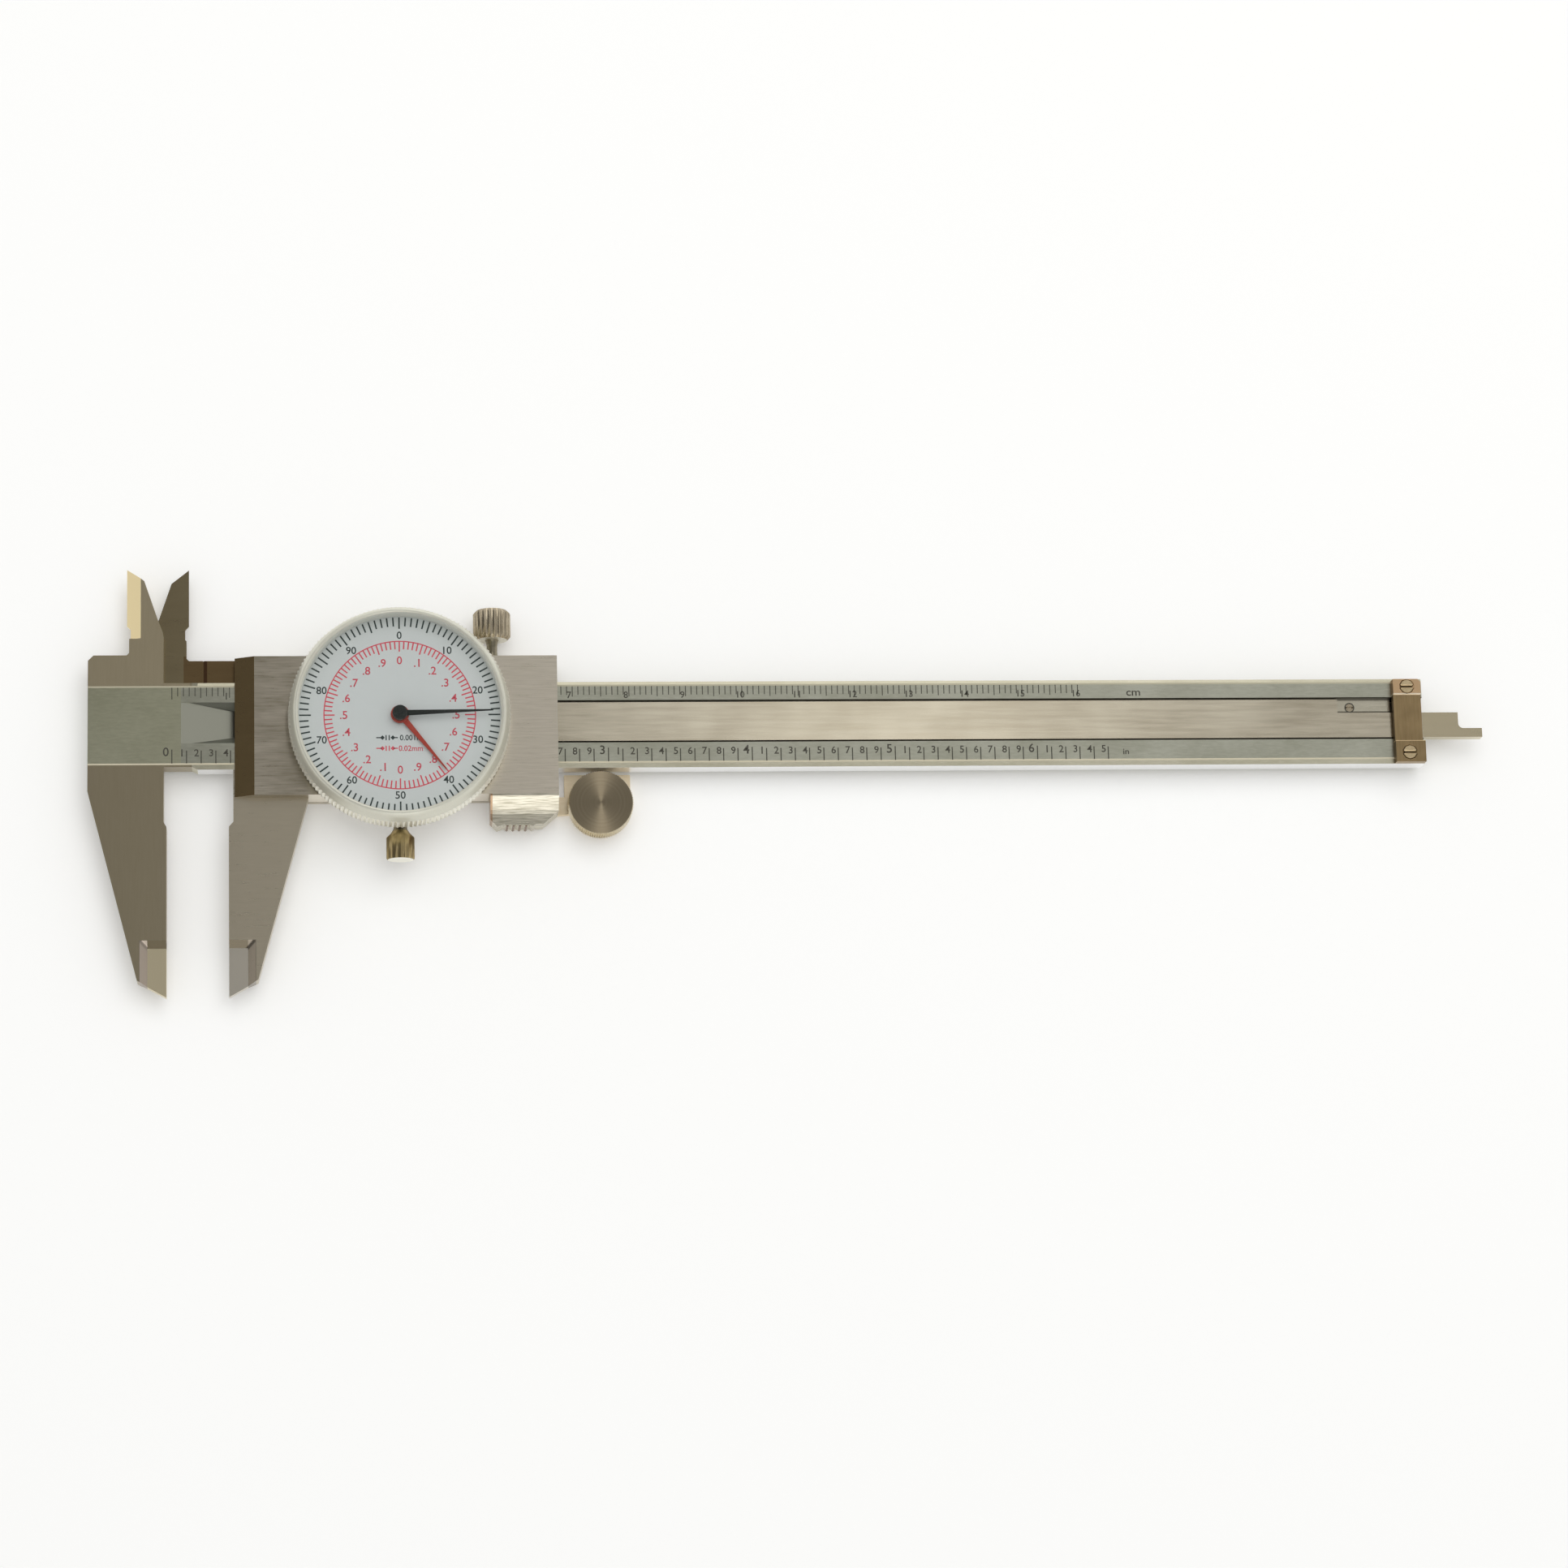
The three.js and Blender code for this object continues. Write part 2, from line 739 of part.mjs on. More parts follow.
function thumb_rest_outline() {
  const ridges = [];
  const first = rest_left + 2 * rest_lip;
  for (let i = 0; i < grip_ridges; i += 1) {
    const x = first + i * grip_pitch;
    ridges.push([x, rest_bottom + grip_depth]);
    ridges.push([x + grip_pitch / 2, rest_bottom]);
  }
  ridges.push([first + grip_ridges * grip_pitch, rest_bottom + grip_depth]);
  return [
    [rest_left, slide_bottom + overrun],
    [rest_left, rest_bottom + rest_lip],
    [rest_left + rest_lip, rest_bottom],
    ...ridges,
    [slide_right - rest_corner, rest_bottom + grip_depth],
    [slide_right, rest_bottom + rest_corner],
    [slide_right, slide_bottom + overrun],
  ];
}

function make_slide_frame() {
  const box = run_along_y([
    [slide_left, wall_rear],
    [slide_right, wall_rear],
    [slide_right, slide_front],
    [slide_left + reading_bevel, slide_front],
    [slide_left, plate_rear + reading_edge],
  ], slide_bottom, slide_top);
  const passage = block(
    slide_left - overrun, slide_right + overrun, rail_low, gib_seat, wall_rear - overrun, plate_rear,
  );
  const outside_jaw = plate([
    ...outside_jaw_outline(1, movable_shoulder, slide_bottom, movable_relief, rail_low),
    [movable_shoulder, rail_low],
  ], -beam_half, beam_half);
  const base_reach = slide_left + knife_line;
  const inside = inside_jaw_outline(-1, movable_base, base_reach, rail_low * -1);
  const end = slide_left + gib_margin - overrun;
  inside.splice(inside.length - 1, 1, [slide_left, slide_top - overrun], [end, slide_top - overrun]);
  inside.push([end, -rail_low]);
  const inside_jaw = plate(inside, -beam_half, -inner_jaw_gap);
  const groove = block(
    -jaw_groove_place - jaw_groove, -jaw_groove_place, -rail_low - overrun, movable_base + overrun,
    -inner_jaw_gap - jaw_groove, overrun,
  );
  const rest = plate(thumb_rest_outline(), bracket_front, slide_front);
  const scoop_length = slide_right - rest_left + 2 * overrun;
  const scoop = new THREE.CylinderGeometry(scoop_radius, scoop_radius, scoop_length, large_sides);
  scoop.rotateZ(Math.PI / 2);
  scoop.translate((rest_left + slide_right) / 2, rest_bottom, slide_front - scoop_depth + scoop_radius);

  const through = [plate_rear - overrun, slide_front + overrun];
  const holes = [pin(bush_radius + thread_gap, ...through, arbor_place, arbor_height, medium_sides)];
  case_screw_places().forEach(([x, y]) => {
    holes.push(pin(screw_radius + thread_gap, plate_rear - overrun, slide_front + overrun, x, y));
  });
  cover_screw_places().forEach(([x, y]) => {
    holes.push(pin(screw_radius + thread_gap, wall_rear - overrun, beam_half, x, y));
  });
  rod_pin_places().forEach(([x, y]) => {
    holes.push(pin(rod_pin_radius + thread_gap, beam_half, (plate_rear + slide_front) / 2 + seat_gap, x, y));
  });
  gib_screw_places().forEach((x) => {
    holes.push(pin_along_y(set_screw_radius + thread_gap, gib_seat - overrun, slide_top + overrun, x, 0));
  });
  const [bracket_x, bracket_y] = bracket_screw_place;
  holes.push(pin(screw_radius + thread_gap, bracket_front - overrun, 0, bracket_x, bracket_y));
  holes.push(pin_along_y(
    lock_thread_radius + thread_gap, gib_seat - overrun, slide_top + overrun, lock_place, lock_depth,
  ));
  holes.push(pin_along_y(
    clamp_thread_radius + thread_gap, slide_bottom - overrun, (slide_bottom + rail_low) / 2 - seat_gap,
    dial_place, clamp_depth,
  ));
  const walls = cut(box, passage);
  const cover_room = block(
    rest_left - overrun, slide_right + overrun, slide_bottom - running_gap, slide_bottom + 2 * overrun,
    bracket_front - overrun, wall_rear,
  );
  const carved_rest = cut(rest, scoop, cover_room);
  const bevel = knife_bevel(-1, -inner_jaw_gap, -beam_half);
  return cut(
    join(walls, outside_jaw, inside_jaw, carved_rest), bevel, groove, ...nib_pockets(1), ...holes,
  );
}

function make_back_cover() {
  const corner = running_gap * 8;
  const body = plate([
    [slide_left + corner, slide_bottom],
    [slide_right - corner, slide_bottom],
    [slide_right, slide_bottom + corner],
    [slide_right, slide_top - corner],
    [slide_right - corner, slide_top],
    [slide_left + corner, slide_top],
    [slide_left, slide_top - corner],
    [slide_left, slide_bottom + corner],
  ], cover_rear, wall_rear);
  const length = wall_rear - cover_rear;
  const seats = cover_screw_places().map(([x, y]) => (
    face_down(sunk_seat(cover_screw_radius, screw_radius, length + overrun), x, y, cover_rear)
  ));
  return cut(body, ...seats);
}

function make_gib() {
  const low = beam_half_width + running_gap;
  return block(
    slide_left + gib_margin, slide_right - gib_margin, low, low + gib_thickness,
    -beam_half, beam_half - running_gap,
  );
}

function make_set_screw(x) {
  const body = pin_along_y(set_screw_radius, gib_seat, slide_top - running_gap, x, 0);
  const half = slot_width / 2;
  const reach = set_screw_radius + overrun;
  const slot_top = slide_top + overrun;
  return cut(body, block(x - reach, x + reach, slide_top - 2 * slot_width, slot_top, -half, half));
}

// The depth rod fills the channel: a body beside the rack and a thin flange over it.
function make_depth_rod() {
  const body = block(rod_root, rod_step, rod_low, rod_body_high, rod_floor, rod_top);
  const flange = block(
    rod_root, rod_step, rod_body_high - overrun, rod_flange_high, rod_top - rod_flange, rod_top,
  );
  const blade = plate([
    [rod_step - overrun, rod_low],
    [rod_tip_end(), rod_low],
    [rod_tip_end(), rod_tip_low],
    ...arc(rod_shoulder + rod_shelf / 2, rod_tip_low + rod_shelf / 2, rod_shelf / 2, -Math.PI / 2, -Math.PI),
    [rod_shoulder, rod_body_high],
    [rod_step - overrun, rod_body_high],
  ], rod_floor, rod_top);
  const pad = block(slide_right - rod_pad_length, slide_right, rod_low, rod_body_high, rod_floor, plate_rear);
  const holes = rod_pin_places().map(([x, y]) => (
    pin(rod_pin_radius + thread_gap, channel_floor + seat_gap * 2, plate_rear + overrun, x, y)
  ));
  return cut(join(body, flange, blade, pad), ...holes);
}

function rod_tip_end() {
  return beam_length;
}

// The roller runs on a stud in a flat bracket, with its rim close under the edge of the beam.
function make_bracket() {
  const left = roller_place - bracket_width / 2 - stud_radius / 4;
  const right = left + bracket_width;
  const arm_top = slide_bottom - thread_gap;
  const arm_bottom = arm_top - bracket_arm;
  const rise = arm_top + 2 * grip_depth;
  const tail = roller_radius - 2 * grip_depth;
  const body = plate([
    [rest_left + grip_pitch * 2, arm_top],
    [rest_left + grip_pitch * 2, arm_bottom - rest_lip],
    [slide_right - rest_corner, arm_bottom - rest_lip],
    [slide_right - rest_corner, arm_bottom],
    ...arc(roller_place, -roller_drop, tail, Math.PI * 1.08, Math.PI * 1.92, 2 * arc_steps),
    [right, -roller_drop + rest_lip],
    [right, bracket_top],
    [left, bracket_top],
    [left, rise],
    [slide_right + seat_gap, rise],
    [slide_right + seat_gap, arm_top],
  ], cover_rear, bracket_front);
  const [x, y] = bracket_screw_place;
  const screw_seat = sunk_seat(cover_screw_radius - seat_gap, screw_radius, bracket_thickness + overrun);
  const stud_seat = sunk_seat(stud_radius + stud_rim, stud_radius, bracket_thickness + overrun);
  return cut(
    body, face_down(screw_seat, x, y, cover_rear),
    face_down(stud_seat, roller_place, -roller_drop, cover_rear),
  );
}

function make_stud() {
  const body = turned([
    ...sunk_profile(stud_radius + stud_rim, stud_radius, bracket_thickness + stud_length, 0), [0, 0],
  ], 0, 0);
  return face_down(body, roller_place, -roller_drop, cover_rear);
}

function make_roller() {
  const rear = bracket_front + pivot_gap;
  const bore_top = bracket_front + stud_length + seat_gap;
  const bore = stud_radius + pivot_gap;
  const rim = roller_radius - roller_edge;
  return turned([
    [0, bore_top], [bore, bore_top], [bore, rear],
    [rim, rear], [roller_radius, rear + roller_edge],
    [roller_radius, roller_front - roller_edge], [rim, roller_front], [0, roller_front],
  ], roller_place, -roller_drop, 2 * medium_sides);
}

// Dial case: a shallow cup on the slide, with three posts that carry the bridge over the gears
function post_places() {
  return post_shares.map(([x, y]) => [dial_place + x * case_radius, dial_height + y * case_radius]);
}

function make_dial_case() {
  const inner = case_radius - case_wall;
  const cup = turned([
    [0, slide_front], [case_radius, slide_front], [case_radius, case_top],
    [inner, case_top], [inner, case_floor_top], [0, case_floor_top],
  ], dial_place, dial_height, hidden_sides);
  const posts = post_places().map(([x, y]) => (
    pin(post_radius, case_floor_top - case_floor / 2, bridge_bottom, x, y)
  ));
  const low = slide_front - overrun;
  const high = bridge_bottom + overrun;
  const holes = [
    pin(arbor_radius + 2 * pivot_gap, low, high, arbor_place, arbor_height),
    pin(inner_arbor_radius + pivot_gap, low, high, dial_place, dial_height),
    ...case_screw_places().map(([x, y]) => pin(screw_radius + thread_gap, low, high, x, y)),
    ...post_places().map(([x, y]) => pin(screw_radius + thread_gap, case_floor_top, high, x, y)),
  ];
  return cut(join(cup, ...posts), ...holes);
}

function make_bridge() {
  const middle = post_places();
  const lobe = post_radius + thread_gap;
  const outline = [];
  middle.forEach(([x, y]) => {
    const angle = Math.atan2(y - dial_height, x - dial_place);
    outline.push(...arc(x, y, lobe, angle - Math.PI / 3, angle + Math.PI / 3));
  });
  const body = plate(outline, bridge_bottom, bridge_bottom + bridge_thickness);
  const low = bridge_bottom - overrun;
  const high = bridge_bottom + overrun;
  return cut(
    body,
    pin(arbor_radius + pivot_gap, low, high, arbor_place, arbor_height),
    pin(tube_radius + pivot_gap, low, high, dial_place, dial_height),
    ...middle.map(([x, y]) => pin(screw_radius + thread_gap, low, high, x, y)),
  );
}

function make_bush() {
  return ring(
    arbor_radius + pivot_gap, bush_radius, plate_rear + running_gap, slide_front,
    arbor_place, arbor_height, medium_sides,
  );
}

// Bezel: a ring round the case that holds the crystal and the printed face and turns with them
function make_bezel_ring() {
  return turned([
    [skirt_inner, bezel_bottom],
    [bezel_radius, bezel_bottom],
    [bezel_radius, bezel_edge],
    [bezel_radius - bezel_rim, bezel_edge + bezel_rim],
    [bezel_lip + bezel_rim, bezel_top],
    [bezel_lip, bezel_top],
    [bezel_lip, crystal_bottom - gasket_thickness],
    [ledge_radius, crystal_bottom - gasket_thickness],
    [ledge_radius, face_front],
    [skirt_inner, face_front],
    [skirt_inner, bezel_bottom],
  ], dial_place, dial_height, large_sides);
}

function make_crystal() {
  const radius = bezel_lip - running_gap;
  const top = crystal_bottom + crystal_thickness;
  return turned([
    [0, crystal_bottom], [radius, crystal_bottom], [radius, top],
    [radius * crown_shoulder_share, top + crystal_crown * crown_rise_share], [0, top + crystal_crown],
  ], dial_place, dial_height, large_sides);
}

function make_gasket() {
  const low = crystal_bottom - gasket_thickness;
  const outer = bezel_lip - running_gap;
  return ring(ledge_radius, outer, low, crystal_bottom, dial_place, dial_height, hidden_sides);
}

function make_dial_face() {
  const radius = skirt_inner - running_gap;
  return ring(face_hole, radius, face_rear, face_front, dial_place, dial_height);
}

function make_snap_ring() {
  const outer = skirt_inner - running_gap;
  const low = face_rear - ring_thickness;
  return ring(outer - ring_width, outer, low, face_rear, dial_place, dial_height, hidden_sides);
}

// Gear train, each piece drawn round its own axis
const inch_module = (2 * arbor_distance) / (inch_wheel_teeth + inch_pinion_teeth);
const metric_module = (2 * arbor_distance) / metric_teeth;

function make_wheel(teeth, module, height) {
  const bore = circle(0, 0, arbor_radius + running_gap, medium_sides);
  const outline = gear_outline(teeth, module, mesh_angle);
  return plate(outline, height, height + wheel_thickness, [bore]);
}

function make_pinion_arbor() {
  const low = channel_floor + pivot_gap;
  const outline = gear_outline(pinion_teeth, rack_module, Math.PI / 2);
  const shaft = pin(arbor_radius, low, bridge_bottom + bridge_thickness, 0, 0, medium_sides);
  return join(plate(outline, low, plate_rear - running_gap), shaft);
}

function make_inch_arbor() {
  const phase = mesh_angle + Math.PI + Math.PI / inch_pinion_teeth;
  const outline = gear_outline(inch_pinion_teeth, inch_module, phase);
  const low = inch_wheel_height - pinion_overhang;
  const high = inch_wheel_height + wheel_thickness + pinion_overhang;
  const top = inch_hand_height + hand_thickness + hub_height / 2;
  const shaft = pin(inner_arbor_radius, slide_front + running_gap, top, 0, 0);
  return join(plate(outline, low, high), shaft);
}

function make_metric_arbor() {
  const phase = mesh_angle + Math.PI + Math.PI / metric_pinion_teeth;
  const outline = gear_outline(metric_pinion_teeth, metric_module, phase);
  const low = metric_wheel_height - pinion_overhang;
  const high = metric_wheel_height + wheel_thickness + pinion_overhang;
  const top = metric_hand_height + hand_thickness;
  const tube = pin(tube_radius, low, top, 0, 0);
  const bore = pin(inner_arbor_radius + pivot_gap, low - overrun, top + overrun, 0, 0);
  return cut(join(plate(outline, low, high), tube), bore);
}

// A hand points along +Y before it is turned: a round boss and a long tapered blade.
function make_hand(length, low, boss_height, root_width, tip_width, bore) {
  const half = root_width / 2;
  const blade = plate([
    [-half, 0], [half, 0], [tip_width / 2, length], [-tip_width / 2, length],
  ], low, low + hand_thickness);
  const boss = pin(hub_radius, low, low + boss_height, 0, 0, medium_sides);
  return cut(join(blade, boss), bore);
}

function add_hand(group, name, hand, turn_length, finish) {
  const mesh = add_piece(group, name, hand, finish);
  mesh.rotation.z = (-turn * opening) / turn_length;
}

// Lock screws, drawn along +Y with a ribbed head: the neck narrows towards the thread.
function ribbed_outline(radius) {
  const outline = [];
  for (let i = 0; i < head_ribs; i += 1) {
    const middle = (i * turn) / head_ribs;
    const step = turn / head_ribs;
    [[0, 0], [rib_depth, 1 / 2]].forEach(([inset, share]) => {
      const angle = middle + share * step;
      outline.push([(radius - inset) * Math.cos(angle), (radius - inset) * Math.sin(angle)]);
    });
  }
  return outline;
}

function ribbed_head(radius, y_low, y_high, x, z) {
  const ribs = plate(ribbed_outline(radius), 0, y_high - y_low - 2 * head_edge);
  ribs.rotateX(-Math.PI / 2).translate(x, y_low + head_edge, z);
  const core = radius - rib_depth - head_edge / 2;
  const body = turned_along_y([
    [0, y_low], [core, y_low], [radius - rib_depth, y_low + head_edge],
    [radius - rib_depth, y_high - head_edge], [core, y_high], [0, y_high],
  ], x, z);
  return join(ribs, body);
}

function make_slide_lock() {
  const high = lock_head_low + lock_head_length;
  const head = ribbed_head(lock_head_radius, lock_head_low, high, lock_place, lock_depth);
  const shank = turned_along_y([
    [0, gib_seat - running_gap + seat_gap / 3],
    [lock_thread_radius, gib_seat - running_gap + seat_gap / 3],
    [lock_thread_radius, slide_top + seat_gap],
    [lock_neck_radius * neck_share, slide_top + 2 * seat_gap],
    [lock_neck_radius, lock_head_low - seat_gap],
    [lock_neck_radius, lock_head_low + seat_gap],
    [0, lock_head_low + seat_gap],
  ], lock_place, lock_depth);
  return join(head, shank);
}

function make_bezel_lock() {
  const low = clamp_head_high - clamp_head_length;
  const head = ribbed_head(clamp_head_radius, low, clamp_head_high, dial_place, clamp_depth);
  const thread_end = slide_bottom + clamp_grip;
  const shoulder = clamp_head_high + clamp_shoulder;
  const shank = turned_along_y([
    [0, clamp_head_high - seat_gap],
    [clamp_head_radius - 2 * rib_depth, clamp_head_high - seat_gap],
    [clamp_head_radius - 2 * rib_depth, clamp_head_high],
    [clamp_neck_radius * neck_share, shoulder],
    [clamp_neck_radius, shoulder + clamp_shoulder],
    [clamp_thread_radius, shoulder + 2 * clamp_shoulder],
    [clamp_thread_radius, thread_end],
    [0, thread_end],
  ], dial_place, clamp_depth);
  return join(head, shank);
}

function add_slide_pieces() {
  add_piece(slide, 'slide_frame', make_slide_frame(), brushed_steel);
  add_piece(slide, 'back_cover', make_back_cover(), brushed_steel);
  cover_screw_places().forEach(([x, y], i) => {
    const screw = sunk_screw(cover_screw_radius, screw_radius, wall_rear - cover_rear + beam_half);
    add_piece(slide, `back_cover_screw_${i + 1}`, face_down(screw, x, y, cover_rear), bright_steel);
  });
  add_piece(slide, 'gib', make_gib(), brass);
  const gib_names = ['gib_screw_left', 'gib_screw_right'];
  gib_screw_places().forEach((x, i) => add_piece(slide, gib_names[i], make_set_screw(x), bright_steel));
  add_piece(slide, 'depth_rod', make_depth_rod(), brushed_steel);
  const pin_names = ['rod_pin_left', 'rod_pin_right'];
  rod_pin_places().forEach(([x, y], i) => {
    const high = (plate_rear + slide_front) / 2;
    const dowel = pin(rod_pin_radius, channel_floor + seat_gap * 2 + thread_gap, high, x, y);
    add_piece(slide, pin_names[i], dowel, bright_steel);
  });
  add_piece(slide, 'roller_bracket', make_bracket(), bronze_steel);
  const [x, y] = bracket_screw_place;
  const bracket_screw = sunk_screw(
    cover_screw_radius - seat_gap, screw_radius, bracket_thickness + beam_half,
  );
  add_piece(slide, 'bracket_screw', face_down(bracket_screw, x, y, cover_rear), bright_steel);
  add_piece(slide, 'roller_stud', make_stud(), bright_steel);
  add_piece(slide, 'pinion_bush', make_bush(), brass);
  add_piece(slide, 'dial_case', make_dial_case(), satin_chrome);
  case_screw_places().forEach(([screw_x, screw_y], i) => {
    const length = case_floor_top - plate_rear - running_gap * 2;
    const screw = pan_screw(screw_head_radius, screw_head_height, screw_radius, length);
    add_piece(slide, `case_screw_${i + 1}`, screw.translate(screw_x, screw_y, case_floor_top), bright_steel);
  });
  add_piece(slide, 'movement_bridge', make_bridge(), brass);
  const bridge_top = bridge_bottom + bridge_thickness;
  post_places().forEach(([screw_x, screw_y], i) => {
    const length = bridge_top - case_floor_top - thread_gap;
    const screw = pan_screw(screw_head_radius, screw_head_height, screw_radius, length);
    add_piece(slide, `bridge_screw_${i + 1}`, screw.translate(screw_x, screw_y, bridge_top), bright_steel);
  });
}

function add_bezel_pieces() {
  add_piece(slide, 'bezel_ring', make_bezel_ring(), bright_steel);
  add_piece(slide, 'crystal', make_crystal(), clear_plastic);
  add_piece(slide, 'crystal_gasket', make_gasket(), nylon);
  add_piece(slide, 'dial_face', make_dial_face(), white_enamel);
  add_piece(slide, 'dial_snap_ring', make_snap_ring(), bright_steel);
}

function add_gear_train() {
  const first_arbor = new THREE.Group();
  first_arbor.position.set(arbor_place, arbor_height, 0);
  const dial_axis = new THREE.Group();
  dial_axis.position.set(dial_place, dial_height, 0);
  slide.add(first_arbor, dial_axis);

  add_piece(first_arbor, 'pinion_arbor', make_pinion_arbor(), bright_steel);
  add_piece(first_arbor, 'inch_wheel', make_wheel(inch_wheel_teeth, inch_module, inch_wheel_height), brass);
  add_piece(
    first_arbor, 'metric_wheel', make_wheel(metric_wheel_teeth, metric_module, metric_wheel_height), brass,
  );
  add_piece(dial_axis, 'inch_arbor', make_inch_arbor(), bright_steel);
  add_piece(dial_axis, 'metric_arbor', make_metric_arbor(), bright_steel);

  const blind = inch_hand_height + hand_thickness + hub_height / 2 + pivot_gap;
  const inch_bore = pin(inner_arbor_radius + pivot_gap, 0, blind, 0, 0);
  const inch_hand = make_hand(
    inch_hand_length, inch_hand_height, hand_thickness + hub_height, hand_root, hand_tip, inch_bore,
  );
  add_hand(dial_axis, 'inch_hand', inch_hand, inch_turn, black_enamel);
  const metric_bore = pin(tube_radius + pivot_gap, 0, inch_hand_height, 0, 0);
  const metric_hand = make_hand(
    metric_hand_length, metric_hand_height, hub_height / 2, hand_root, hand_tip, metric_bore,
  );
  add_hand(dial_axis, 'metric_hand', metric_hand, metric_turn, red_enamel);
}

function add_turning_pieces() {
  add_piece(slide, 'thumb_roller', make_roller(), brushed_steel);
  add_piece(slide, 'slide_lock_screw', make_slide_lock(), bright_steel);
  add_piece(slide, 'bezel_lock_screw', make_bezel_lock(), bronze_steel);
}

add_beam_pieces();
add_slide_pieces();
add_bezel_pieces();
add_gear_train();
add_turning_pieces();

export default caliper;
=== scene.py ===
# %% [markdown]
# # A dial caliper dressed for its portrait
# The caliper arrives as a frame of plain solids, each riding on its own body of the mechanism. This
# notebook gives it what a measuring tool shows up close: ground and satin steel, engraved scales, a
# printed dial under a clear crystal, and knurls fine enough for a fingertip. Loading the frame comes
# first, because the main sizes and places below are read from it.

# %% Load the frame
from math import cos, pi, radians, sin

import bmesh
import bpy
from mathutils import Matrix, Vector


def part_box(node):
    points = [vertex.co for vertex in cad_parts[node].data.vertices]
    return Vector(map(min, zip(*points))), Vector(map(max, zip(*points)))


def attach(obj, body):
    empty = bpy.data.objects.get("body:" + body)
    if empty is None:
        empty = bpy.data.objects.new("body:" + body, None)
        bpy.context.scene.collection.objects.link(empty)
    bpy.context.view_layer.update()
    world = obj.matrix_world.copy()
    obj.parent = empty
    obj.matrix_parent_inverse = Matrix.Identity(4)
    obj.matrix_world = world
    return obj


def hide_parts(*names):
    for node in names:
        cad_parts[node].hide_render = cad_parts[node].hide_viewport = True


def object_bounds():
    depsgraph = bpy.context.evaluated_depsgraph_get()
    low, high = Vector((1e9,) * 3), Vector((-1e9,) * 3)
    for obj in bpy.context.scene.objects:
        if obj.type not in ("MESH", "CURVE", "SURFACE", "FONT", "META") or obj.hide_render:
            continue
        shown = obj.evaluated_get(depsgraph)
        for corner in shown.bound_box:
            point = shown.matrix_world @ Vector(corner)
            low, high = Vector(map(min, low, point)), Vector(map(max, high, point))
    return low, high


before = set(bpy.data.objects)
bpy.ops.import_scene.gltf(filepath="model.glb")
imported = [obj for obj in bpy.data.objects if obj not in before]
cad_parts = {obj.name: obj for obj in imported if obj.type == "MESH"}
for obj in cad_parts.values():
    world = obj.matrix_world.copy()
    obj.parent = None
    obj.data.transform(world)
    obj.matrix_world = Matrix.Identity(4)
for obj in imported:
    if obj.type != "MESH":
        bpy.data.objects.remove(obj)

cad_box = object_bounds()
mm = 0.001
print("nodes in the frame:", len(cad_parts))

# %% [markdown]
# ## Places read from the frame
# The middle of the dial is the middle of the bezel ring. Three places can't be read from a box,
# because the jaws reach past them: the centreline of the beam, 30 mm above the middle of the
# measuring faces, and the left end and lower edge of the slide's front plate. They are written down.

# %% Main places
def middle_of(name):
    """Middle of the box of a node of the frame."""
    low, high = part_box(name)
    return (low + high) / 2


def radius_of(name):
    """Half the width of a turned node of the frame, in mm."""
    low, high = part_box(name)
    return (high.x - low.x) / 2 / mm


centre_y = 30 * mm
plate_length, plate_drop = 56.37 * mm, 12.77 * mm
beam_low, beam_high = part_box("beam")
beam_front = beam_high.z
dial_x, dial_y = middle_of("bezel_ring").xy
slide_low, slide_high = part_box("slide_frame")
slide_right = slide_high.x
slide_left = slide_right - plate_length
slide_bottom = centre_y - plate_drop
print("dial middle, mm:", round(dial_x / mm, 2), round(dial_y / mm, 2))

# %% [markdown]
# ## Camera
# The portrait was taken from almost straight above, a little from below and from the left, with a
# long lens. The tilts were found by matching forty graduations of the beam, and they are written as
# the three turns that carry the object in front of the lens.

# %% Camera
camera_place = Vector((26.168, -153.577, 820.956)) * mm
turn_x, turn_y, turn_z = radians(-11.8507), radians(5.7060), radians(1.4883)
film_width = 36
focal_length = 109.55

to_view = Matrix.Rotation(turn_z, 3, "Z")
to_view = to_view @ Matrix.Rotation(turn_x, 3, "X") @ Matrix.Rotation(turn_y, 3, "Y")
camera_data = bpy.data.cameras.new("portrait_camera")
camera_data.sensor_fit = "HORIZONTAL"
camera_data.sensor_width = film_width
camera_data.lens = focal_length
camera_data.clip_start = 10 * mm
camera = bpy.data.objects.new("portrait_camera", camera_data)
camera.matrix_world = Matrix.Translation(camera_place) @ to_view.inverted().to_4x4()
bpy.context.scene.collection.objects.link(camera)
bpy.context.scene.camera = camera
print("camera distance, mm:", round(camera_place.length / mm))

# %% [markdown]
# ## Nodes and colours
# Blender keeps colours linear, while hex values are written for a screen, so one function turns one
# into the other. One more adds a node to a material with its settings and links, which keeps every
# finish below short enough to read as a recipe.

# %% Helpers for materials
def colour(hex_value):
    """Linear colour, with alpha, of an sRGB hex value."""
    channels = [int(hex_value[i:i + 2], 16) / 255 for i in (1, 3, 5)]
    linear = [c / 12.92 if c <= 0.04045 else ((c + 0.055) / 1.055) ** 2.4 for c in channels]
    return (*linear, 1)


def add_node(tree, kind, links=None, values=None, **settings):
    """Adds a node, sets its settings and socket values, and links sources to its inputs."""
    node = tree.nodes.new(kind)
    for name, value in settings.items():
        setattr(node, name, value)
    for socket, value in (values or {}).items():
        node.inputs[socket].default_value = value
    for socket, source in (links or {}).items():
        tree.links.new(source, node.inputs[socket])
    return node


def new_material(name, **values):
    """A material with its tree and its Principled shader, whose plain values are set by name."""
    material = bpy.data.materials.new(name)
    material.use_nodes = True
    tree = material.node_tree
    shader = tree.nodes["Principled BSDF"]
    for socket, value in values.items():
        shader.inputs[socket.replace("_", " ")].default_value = value
    return material, tree, shader


